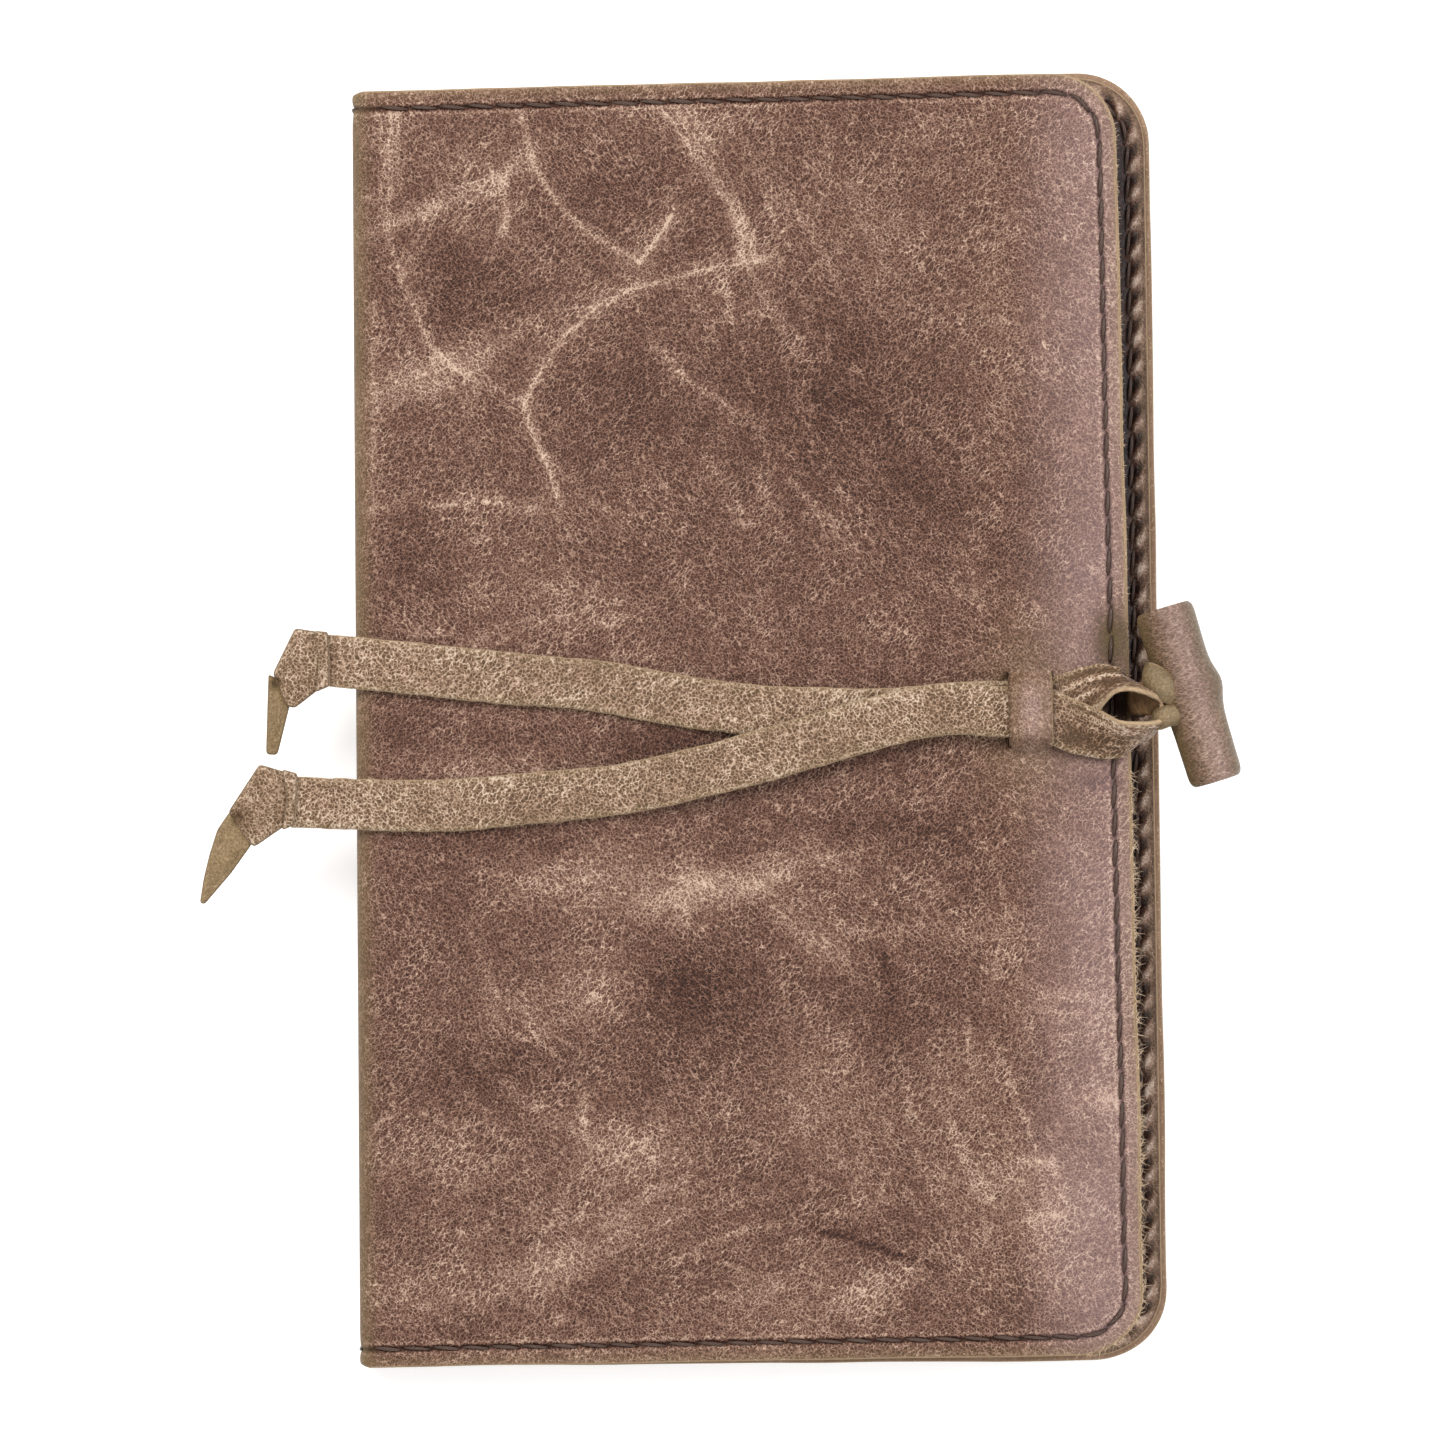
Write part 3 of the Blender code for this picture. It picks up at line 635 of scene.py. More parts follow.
SCARS = [
    ([(0.532, 0.858), (0.506, 0.856), (0.438, 0.849), (0.358, 0.836), (0.307, 0.820), (0.267, 0.797), (0.239, 0.773), (0.219, 0.749), (0.222, 0.732), (0.241, 0.707), (0.264, 0.668)], 0.4, 0.36),
    ([(0.243, 0.707), (0.300, 0.672), (0.344, 0.649)], 0.3, 0.16),
    ([(0.215, 0.973), (0.232, 0.931), (0.263, 0.900), (0.307, 0.876), (0.364, 0.857)], 0.3, 0.3),
    ([(0.049, 0.977), (0.046, 0.922), (0.047, 0.870), (0.063, 0.845), (0.081, 0.818), (0.095, 0.794), (0.132, 0.773), (0.165, 0.763), (0.215, 0.749)], 0.3, 0.26),
    ([(0.035, 0.974), (0.039, 0.937), (0.034, 0.894)], 0.25, 0.2),
    ([(0.058, 0.974), (0.056, 0.945), (0.062, 0.914)], 0.25, 0.18),
    ([(0.024, 0.829), (0.026, 0.735), (0.020, 0.658)], 0.25, 0.16),
    ([(0.367, 0.857), (0.407, 0.891)], 0.62, 0.5),
    ([(0.192, 0.921), (0.194, 0.880)], 0.9, 0.24),
    ([(0.472, 0.844), (0.478, 0.827), (0.483, 0.810)], 0.25, 0.22),
    ([(0.394, 0.975), (0.443, 0.935), (0.481, 0.897), (0.500, 0.862)], 0.3, 0.24),
    ([(0.412, 0.975), (0.458, 0.931), (0.496, 0.885), (0.515, 0.856)], 0.3, 0.2),
    ([(0.431, 0.973), (0.475, 0.928), (0.509, 0.873)], 0.3, 0.16),
    ([(0.375, 0.796), (0.416, 0.769), (0.492, 0.737)], 0.25, 0.2),
    ([(0.109, 0.668), (0.160, 0.673), (0.243, 0.663)], 0.5, 0.22),
    ([(0.009, 0.664), (0.058, 0.673), (0.109, 0.668)], 0.3, 0.16),
    ([(0.289, 0.211), (0.285, 0.191), (0.295, 0.172)], 0.55, 0.3),
    ([(0.876, 0.825), (0.882, 0.786), (0.872, 0.732)], 0.3, 0.14),
    ([(0.568, 0.106), (0.626, 0.098), (0.690, 0.085), (0.747, 0.075)], 0.45, -0.3),
    ([(0.667, 0.337), (0.681, 0.275)], 0.3, -0.14),
    ([(0.845, 0.158), (0.882, 0.156)], 1.3, 0.22),
    ([(0.856, 0.113), (0.897, 0.115)], 1.4, 0.24),
    ([(0.926, 0.206), (0.968, 0.204)], 1.4, 0.24),
    ([(0.877, 0.286), (0.953, 0.282)], 1.2, 0.22),
    ([(0.870, 0.274), (0.946, 0.268)], 0.8, 0.14),
    ([(0.776, 0.438), (0.820, 0.375), (0.838, 0.313)], 0.3, 0.12),
    ([(0.143, 0.339), (0.181, 0.285), (0.258, 0.238)], 0.3, 0.12),
    ([(0.473, 0.105), (0.550, 0.111), (0.600, 0.097)], 0.3, 0.16),
]
# bundles of pressed-in wrinkles: middle, half sizes, direction of the lines
FOLDS = [(0.569, 0.834, 16, 34, 118), (0.628, 0.676, 22, 16, 128), (0.806, 0.180, 24, 20, 112), (0.243, 0.225, 16, 14, 140), (0.139, 0.884, 14, 14, 60), (0.228, 0.550, 24, 8, 12), (0.398, 0.112, 30, 12, 24), (0.658, 0.360, 16, 8, 150)]


def on_panel(fx, fy):
    return tuple(PANEL_LO[:2] + (PANEL_HI - PANEL_LO)[:2] * (fx, fy))


CLOUDS = [(*on_panel(*r[:2]), *r[2:]) for r in CLOUDS]
SCARS = [([on_panel(*q) for q in pts], width, amp) for pts, width, amp in SCARS]
FOLDS = [(*on_panel(*r[:2]), *r[2:]) for r in FOLDS]


def paint(x, y, d):
    """Tone, painted sheen and olive tint at a point of the outer leather. Besides the leather's own tones, the tone
    carries painted shadow by the loop, painted shade in the stitch groove and painted highlights on the bridge and
    outer margin.
    """
    tone = np.zeros_like(x)
    for cx, cy, rx, ry, deg, amp in CLOUDS:
        wx = x + 5 * (fbm(x / 9, y / 9, 31) - 0.5)
        wy = y + 5 * (fbm(x / 9, y / 9, 41) - 0.5)
        tone += amp * blob(wx, wy, cx, cy, rx, ry, deg)
    for pts, width, amp in SCARS:
        jx = x + 0.8 * (fbm(x / 2.2, y / 2.2, 51) - 0.5)
        jy = y + 0.8 * (fbm(x / 2.2, y / 2.2, 61) - 0.5)
        tone += amp * 1.05 * near_line(jx, jy, pts, max(width * 0.8, 0.36)) * (0.35 + 1.2 * fbm(x / 3.0, y / 3.0, 71, 2))
        tone += amp * 0.30 * near_line(x, y, pts, width * 4.5)
    for cx, cy, rx, ry, deg in FOLDS:
        a = math.radians(deg)
        m = blob(x, y, cx, cy, rx, ry, 0)
        u = (x - cx) * -math.sin(a) + (y - cy) * math.cos(a)
        s = (x - cx) * math.cos(a) + (y - cy) * math.sin(a)
        lines = fbm(u / 1.25 + 2.0 * fbm(s / 9, u / 9, 81), s / 9.0, 91, 2)
        tone += m * (sstep(0.58, 0.68, lines) * 0.17 - 0.02)
    # lighter at the cut edge and in narrow strips either side of the stitch row; the darkening along the row itself is
    # painted shade in the stitch groove
    rim = np.exp(-(d / 0.9) ** 2) * 0.16 + np.exp(-((d - ROW - 0.95) / 0.35) ** 2) * 0.16 + np.exp(-((d - ROW + 0.95) / 0.35) ** 2) * 0.10
    tone = tone + rim - 0.42 * np.exp(-np.abs((d - ROW) / 0.42) ** 3)
    # painted shadow of the raised lace loop: dark inside its eye, in the dent above it and, less, below it
    tone -= 0.62 * blob(x, y, EYE[0], EYE[1] + 11.3, 2.4, 4.6, 0) + 0.9 * blob(x, y, EYE[0] + 0.75, EYE[1], 3.6, 3.2, 0) + 0.25 * blob(x, y, EYE[0] - 1.25, EYE[1] - 13.3, 5, 1.6, 0)
    # painted sheen over the outer margin: a painted highlight of the light's reflection
    painted_sheen = sstep(PANEL_HI[0] - 24.2, PANEL_HI[0] - 6.2, x) * (0.6 + 0.6 * fbm(x / 14, y / 14, 101, 3)) * 0.62
    painted_sheen = np.clip(painted_sheen, 0, 1)
    # no painted sheen inside the painted shadows by the loop, and more painted shadow in the dent
    eye = blob(x, y, EYE[0] + 0.75, EYE[1], 3.8, 3.4, 0)
    dent_shadow = blob(x, y, EYE[0], EYE[1] + 11.3, 2.6, 5.0, 0)
    painted_sheen = painted_sheen * (1 - eye) * (1 - dent_shadow)
    tone = tone - 0.35 * dent_shadow
    # painted highlight along the middle of the bridge; the outer margin is also lighter as part of its painted sheen
    mid = blob(x, y, BAND[0] + 0.2, BAND[1] - 0.3, 1.9, 5.2, 0)
    tone = tone + 0.11 * sstep(PANEL_HI[0] - 21.2, PANEL_HI[0] - 6.2, x) + 0.20 * mid + 0.05 * blob(x, y, BAND[0], BAND[1], 4, 8, 0)
    # olive tint near the spine, round the bridge and along the edge is the leather's own; in the dent by the loop it is
    # part of the painted shadow
    near_spine = np.exp(-((x - SX) / 2.2) ** 2)
    br = blob(x, y, BAND[0], BAND[1], 7.5, 13, 0)
    olive = np.clip(near_spine * 0.8 + br * 0.55 + np.exp(-(d / 1.6) ** 2) * 0.45, 0, 1)
    olive = np.clip(olive + 0.8 * dent_shadow, 0, 1)
    painted_sheen = np.clip(painted_sheen + 0.5 * mid, 0, 1)
    olive = olive * (1 - 0.8 * mid)
    return tone, painted_sheen, olive


def skin(name, C, W, H, r, up, e_side, e_ends, slit=False, shift=0.0):
    """The outer leather of one panel with half the spine, as one sheet."""
    rc = 2.3
    fine = 0.6 if slit else 1.0
    xs = grid_columns(W, W - 12.5, (XL, XR) if slit else (), fine)
    rows = grid_rows(H, (YB0, YB1) if slit else (), fine)
    prof = []  # X, height above the mid-spine, normal X, normal Z, panel X
    top = 8.0
    for z in np.linspace(0, top - rc, 8):
        prof.append((0.0, z, -1.0, 0.0, 0.0))
    for k in range(1, 9):
        a = math.pi - (math.pi / 2) * k / 9
        prof.append((rc + rc * math.cos(a), top - rc + rc * math.sin(a), math.cos(a), math.sin(a), rc + rc * math.cos(a)))
    for x in xs:
        prof.append((x, top, 0.0, 1.0, x))
    P = np.array(prof)
    X = P[:, 4][:, None] + 0 * rows[None, :]
    e = np.interp(X, [0, W * 0.5, W], [0, 0, e_side])

    def limits(Xc, Wd, Hd, rd):
        q = np.clip(Xc - (Wd - rd), 0, rd)
        y = Hd - rd + np.sqrt(np.maximum(rd * rd - q * q, 0))
        c = np.clip(1 - Xc / 1.6, 0, 1)
        return y - 0.7 * (1 - np.sqrt(np.maximum(1 - c * c, 0)))

    Xo = np.minimum(X, W) * (W - e_side) / W
    Xo = np.where(X < W - 14, X, W - 14 + (X - (W - 14)) * (14 - e_side) / 14)
    Yo = rows[None, :] * limits(Xo, W - e_side, H - e_ends, r - 0.2)
    Yi = rows[None, :] * limits(X, W, H, r)
    wig = 0.5 * (fbm(X / 19 + 3, Yi / 23, 5, 2) - 0.5)
    xo, yo = bilerp(C, W, H, Xo, Yo)
    xi, yi = bilerp(C, W, H, X, Yi)
    xi = xi + wig * sstep(W - 12, W, X)
    xo = xo + wig * sstep(W - 12, W, X)
    yo = yo + wig * sstep(H - 10, H, np.abs(Yo))
    yi = yi + wig * sstep(H - 10, H, np.abs(Yi))
    d = inset_of(W, H, r, Xo, Yo)
    t, total = along(W, H, r, Xo, Yo)
    nx, nz = P[:, 2][:, None], P[:, 3][:, None]
    flatness = np.clip(nz, 0, 1)
    disp = groove(d - shift, t) + waves(xo, yo) * sstep(3, 14, d) * sstep(0, 12, Xo) * 0.9
    disp = disp + 0.22 * (1 - np.exp(-np.maximum(d - e_ends, 0) / 0.7)) - 0.22 + 0.12 * np.exp(-((d - 1.5) / 1.1) ** 2)
    if slit:
        for pts, width, amp in SCARS:
            if amp > 0.15 and width < 0.5:
                disp = disp + 0.10 * near_line(xo, yo, pts, 0.5)
    lift = 0
    thick = LT + 0 * Xo
    if slit:
        ym, yh = (YB0 + YB1) / 2, (YB1 - YB0) / 2
        inside = (X > XL) & (X < XR) & (np.abs(Yo - ym) < yh)
        u = np.clip(np.abs(Yo - ym) / yh, 0, 1)
        lift = np.where(inside, BRIDGE_LIFT * (1 - u ** 6.5) ** 0.9, 0)
        edge_round = np.where(inside, -0.22 * np.exp(-np.minimum(X - XL, XR - X) / 0.5), 0)
        lip = np.where(~inside, -0.35 * np.exp(-((np.minimum(np.abs(X - XL), np.abs(X - XR))) / 1.2)) * (np.abs(Yo - ym) < yh * 1.02), 0)
        disp = disp + edge_round + lip
        thick = np.where(inside, 1.5, thick)
    base = 8.0 + up * (P[:, 1][:, None] - 0.0)
    if up < 0:
        base = 8.0 - P[:, 1][:, None]
    ox = xo - Xo + P[:, 0][:, None] * (Xo / np.maximum(X, 1e-6)) * (X > 0) + 0.0
    ox = np.where(X > 2.35, xo, SX + P[:, 0][:, None] + 0 * xo)
    O = np.stack([ox + nx * disp, yo, base + up * nz * (disp + lift)], -1)
    ix = np.where(X > 2.35, xi, SX + P[:, 0][:, None] + 0 * xi)
    drop = thick - 0.0
    I = np.stack([ix - nx * drop, yi, base - up * nz * (drop - lift) + up * nz * waves(xi, yi) * sstep(3, 14, d) * sstep(0, 12, X) * 0.9], -1)
    mask = np.ones((len(P) - 1, len(rows) - 1), bool)
    if slit:
        Yc = rows * limits(np.array([XL]), W - e_side, H - e_ends, r - 0.2)[0]
        for s in (XL, XR):
            i = int(np.argmin(np.abs(P[:, 4] - (s - 0.09)) + (P[:, 3] < 0.99) * 99))
            for j in range(len(rows) - 1):
                m = (Yc[j] + Yc[j + 1]) / 2
                if YB0 < m < YB1:
                    mask[i, j] = False
    gx = inset_of(W, H, r, Xo + 0.05, Yo) - inset_of(W, H, r, Xo - 0.05, Yo)
    gy = inset_of(W, H, r, Xo, Yo + 0.05) - inset_of(W, H, r, Xo, Yo - 0.05)
    N2 = -np.stack([gx, gy], -1) / 0.1
    tone, painted_sheen, olive = paint(O[..., 0], O[..., 1], d - shift)
    if up < 0:
        tone, painted_sheen = tone * 0.6, painted_sheen * 0
    pm = np.stack([xo + 0 * nx, yo, 0 * xo + (0 if up > 0 else 200)], -1)
    pm[..., 0] = np.where(X > 2.35, pm[..., 0], SX - (8 - P[:, 1][:, None]) + P[:, 0][:, None])
    ob = sheet_mesh(name, O, I, mask, N2, [GRAIN, FLESH, EDGE], {"pm": pm, "tone": tone, "painted_sheen": painted_sheen, "olive": olive}, flip=(up < 0))
    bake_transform(ob)
    return ob


front_skin = skin("front_leather", FRONT, FW, FH, FR, 1, 0.55, 0.15, slit=True)
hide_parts("front_cover", "spine_cover")
back_skin = skin("back_leather", BACK, BW, BH, BR, -1, 0.0, 0.0, shift=BACK_ROW)
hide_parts("back_cover")


# ------------------------------------------------------------------ pockets
def pocket(name, C, W, H, r, z_cover, up, body, node):
    """Pocket leather: down on the cover along its sewn rim, lifted over the slot inside it. up is the grain's way."""
    Wp, Hp, rp = W - 0.9, H - 0.9, r - 0.7
    xs = np.concatenate([np.arange(POCKET_X, W - 14, 1.1), np.arange(W - 14, W - 7, 0.6), np.linspace(W - 7, Wp, 26)])
    rows = grid_rows(Hp)
    X = xs[:, None] + 0 * rows[None, :]
    q = np.clip(X - (Wp - rp), 0, rp)
    Y = rows[None, :] * (Hp - rp + np.sqrt(np.maximum(rp * rp - q * q, 0)))
    x, y = bilerp(C, W, H, X, Y)
    d = inset_of(W, H, r, X, Y) - (BACK_ROW if up > 0 else 0.0)
    t, total = along(W, H, r, X, Y)
    wob = 0.55 * (fbm(X / 9, Y / 9, 15, 3) - 0.5)
    lift = 2.1 - 1.8 * (1 - sstep(3.8, 9.3, d)) - 0.12 + 0.0 * X
    ph = t / PITCH - 0.16 * (d - ROW) * np.sign(Y + 1e-9) * 0 - 0.17 * (d - ROW)
    puck = 0.42 * (2 * np.clip(0.5 + 0.5 * np.cos(2 * math.pi * ph), 0, 1) ** 0.8 - 1) * np.exp(-np.abs((d - 2.15) / 1.05) ** 3)
    disp = 1.3 * groove(d, t, 0.6, 0.6) + puck + wob * sstep(0.5, 4, d)
    zt = z_cover + up * (lift + 1.2 + disp)
    zb = z_cover + up * (np.maximum(lift, 0.3) + 0 * X)
    edge = 0.25 * (1 - np.exp(-np.maximum(d - 0.9, 0) / 0.4)) - 0.25
    O = np.stack([x, y, zt + up * edge], -1)
    I = np.stack([x, y, zb], -1)
    gx = inset_of(W, H, r, X + 0.05, Y) - inset_of(W, H, r, X - 0.05, Y)
    gy = inset_of(W, H, r, X, Y + 0.05) - inset_of(W, H, r, X, Y - 0.05)
    N2 = -np.stack([gx, gy], -1) / 0.1
    # painted shadow cast by the front cover's edge, darker inward of the stitch row; painted highlights on the raised
    # puckers and painted shade between them; a lighter line along the cut edge
    tone = -0.34 * sstep(ROW - 0.2, ROW + 0.4, d) * (1 - sstep(7, 14, d)) + 0.54 * np.clip(puck / 0.42, 0, 1) + 0.16 * np.exp(-((d - 0.9) / 0.5) ** 2) - 0.3 * np.clip(-puck / 0.42, 0, 1)
    pm = np.stack([x, y, 0 * x + 300 + 50 * up], -1)
    ob = sheet_mesh(name, O, I, np.ones((len(xs) - 1, len(rows) - 1), bool), N2, [POCKET_T, FLESH, EDGE],
                    {"pm": pm, "tone": tone, "painted_sheen": 0 * x, "olive": 0.4 * np.exp(-((d - 0.9) / 0.8) ** 2)}, flip=(up < 0))
    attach(ob, body)
    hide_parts(node)
    return ob


# dark palette: painted shade of the pocket lying in the front cover's shadow
POCKET_T = leather("pocket_grain_shaded", POCKET_SHADE_PALETTE, cell=1.6, line=0.22, depth=0.00025, rough=0.5, hand=True, cloud=0.42)
back_pocket = pocket("back_pocket_leather", BACK, BW, BH, BR, LT, 1, "back", "back_pocket")
front_pocket = pocket("front_pocket_leather", FRONT, FW, FH, FR, S - LT, -1, "front", "front_pocket")


# ------------------------------------------------------------------ stitching
def stitch_set(W, H, r, C, z_of, up, skip_start=0.0, slant=0.20, seed=1, size=1.0, shift=0.0):
    """(verts, faces, pm) of one row of saddle stitches; z_of(d, t) is the leather's height at the row."""
    rng = np.random.RandomState(seed)
    total = along(W, H, r, np.array(10.0), np.array(50.0))[1]
    n = int(total // PITCH)
    V, F, A = [], [], []
    sides, rings = 10, 13
    for k in range(n):
        t0, t1 = k * PITCH + 0.10, (k + 1) * PITCH - 0.10
        if t0 < skip_start or t1 > total - skip_start:
            continue
        jit = rng.uniform(-1, 1, 4)
        w = (0.30 + 0.025 * jit[0]) * size
        base = len(V)
        for i in range(rings):
            s = i / (rings - 1)
            t = t0 + (t1 - t0) * s
            X, Y, dx, dy = row_point(W, H, r, ROW + shift, t)
            off = (s - 0.5) * 2 * slant * (1 + 0.2 * jit[1]) + 0.06 * jit[2]
            nxp, nyp = dy, -dx  # inwards
            x, y = bilerp(C, W, H, np.array(X + nxp * off), np.array(Y + nyp * off))
            taper = (math.sin(math.pi * min(max(s, 0.0), 1.0)) ** 0.42) if 0 < s < 1 else 0.0
            ww = w * max(taper, 0.18)
            hh = 0.28 * size * max(taper, 0.2)
            dz = -0.62 + 0.60 * (math.sin(math.pi * s) ** 0.55 if 0 < s < 1 else 0) + 0.03 * jit[3]
            z = z_of(X) + up * dz
            for m in range(sides):
                a = 2 * math.pi * m / sides
                V.append((float(x) + nxp * ww * math.cos(a), float(y) + nyp * ww * math.cos(a), z + up * hh * math.sin(a)))
                A.append((t * 1.0, m * 1.6 * 0.4, 0.0 + k * 3.1))
        for i in range(rings - 1):
            for m in range(sides):
                a, b = base + i * sides + m, base + i * sides + (m + 1) % sides
                F.append((a, b, b + sides, a + sides) if up > 0 else (a, a + sides, b + sides, b))
        F.append(tuple(base + m for m in range(sides))[::-1] if up > 0 else tuple(base + m for m in range(sides)))
        F.append(tuple(base + (rings - 1) * sides + m for m in range(sides)) if up > 0 else tuple(base + (rings - 1) * sides + m for m in range(sides))[::-1])
    return V, F, A


def join_sets(sets):
    V, F, A = [], [], []
    for v, f, a in sets:
        o = len(V)
        V += v
        A += a
        F += [tuple(i + o for i in g) for g in f]
    return V, F, A


V, F, A = join_sets([stitch_set(FW, FH, FR, FRONT, lambda t: S - 0.05, 1, 2.0, 0.24, 1),
                     stitch_set(FW, FH, FR, FRONT, lambda X: S - LT - (1.3 if X > POCKET_X - 0.2 else 0.0), -1, 2.0, -0.24, 2)])
front_st = mesh_obj("front_stitches", V, F, [THREAD], attrs={"pm": A})
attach(front_st, "front"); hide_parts("front_thread")
V, F, A = join_sets([stitch_set(BW, BH, BR, BACK, lambda X: LT + (1.15 if X > POCKET_X - 0.2 else 0.0), 1, 2.0, 0.26, 3, 1.0, BACK_ROW),
                     stitch_set(BW, BH, BR, BACK, lambda t: 0.25, -1, 2.0, 0.24, 4, 1.0, BACK_ROW)])
back_st = mesh_obj("back_stitches", V, F, [THREAD], attrs={"pm": A})
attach(back_st, "back"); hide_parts("back_thread")


def spine_stitches(name, y0, node):
    V, F, A = [], [], []
    sides, rings = 10, 11
    for k, (za, zb) in enumerate(((1.9, 5.6), (6.1, 9.9), (10.4, 14.1))):
        base = len(V)
        for i in range(rings):
            s = i / (rings - 1)
            z = za + (zb - za) * s
            taper = max(math.sin(math.pi * s) ** 0.45 if 0 < s < 1 else 0, 0.2)
            x = SX + 0.30 - 0.26 * (math.sin(math.pi * s) ** 0.6 if 0 < s < 1 else 0)
            for m in range(sides):
                a = 2 * math.pi * m / sides
                V.append((x - 0.2 * taper * math.sin(a), y0 + (s - 0.5) * 0.3 + 0.3 * taper * math.cos(a), z))
                A.append((z, m * 0.64, k * 3.1))
        for i in range(rings - 1):
            for m in range(sides):
                a, b = base + i * sides + m, base + i * sides + (m + 1) % sides
                F.append((a, a + sides, b + sides, b))
        F.append(tuple(base + m for m in range(sides)))
        F.append(tuple(base + (rings - 1) * sides + m for m in range(sides))[::-1])
    ob = mesh_obj(name, V, F, [THREAD], attrs={"pm": A})
    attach(ob, "spine"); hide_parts(node)


spine_stitches("spine_head_stitches", sum(b[1] for b in box("spine_thread_head")) / 2, "spine_thread_head")
spine_stitches("spine_tail_stitches", sum(b[1] for b in box("spine_thread_tail")) / 2, "spine_thread_tail")


# ------------------------------------------------------------------ straps
def resample(points, step):
    """Smooth curve through rows of numbers (x, y, z and any others), evenly spaced in space."""
    P = np.array(points, float)
    P = np.vstack([2 * P[0] - P[1], P, 2 * P[-1] - P[-2]])
    fine = []
    for i in range(1, len(P) - 2):
        a, b, c, d = P[i - 1:i + 3]
        for k in range(30):
            t = k / 30
            fine.append(0.5 * (2 * b + (c - a) * t + (2 * a - 5 * b + 4 * c - d) * t * t + (3 * b - a - 3 * c + d) * t ** 3))
    fine.append(P[-2])
    fine = np.array(fine)
    s = np.concatenate([[0], np.cumsum(np.linalg.norm(np.diff(fine[:, :3], axis=0), axis=1))])
    n = max(int(round(s[-1] / step)), 3)
    u = np.linspace(0, s[-1], n + 1)
    return np.stack([np.interp(u, s, fine[:, k]) for k in range(fine.shape[1])], 1), u


def fibre(rng, p, d, length, radius, V, F):
    """One loose fibre: a thin bent tapering tube."""
    d = np.array(d, float) / np.linalg.norm(d)
    a = np.cross(d, (0.3, 0.2, 1.0))
    a /= np.linalg.norm(a)
    c = np.cross(d, a)
    bend = rng.uniform(-0.5, 0.5, 2) * length
    base = len(V)
    for i in range(5):
        s = i / 4
        q = np.array(p) + d * length * s + a * bend[0] * s * s + c * bend[1] * s * s
        for m in range(3):
            w = 2 * math.pi * m / 3
            V.append(q + (a * math.cos(w) + c * math.sin(w)) * radius * (1 - 0.75 * s))
    for i in range(4):
        for m in range(3):
            k = base + i * 3
            F.append((k + m, k + (m + 1) % 3, k + 3 + (m + 1) % 3, k + 3 + m))
    F.append((base + 2, base + 1, base))
    F.append((base + 12, base + 13, base + 14))


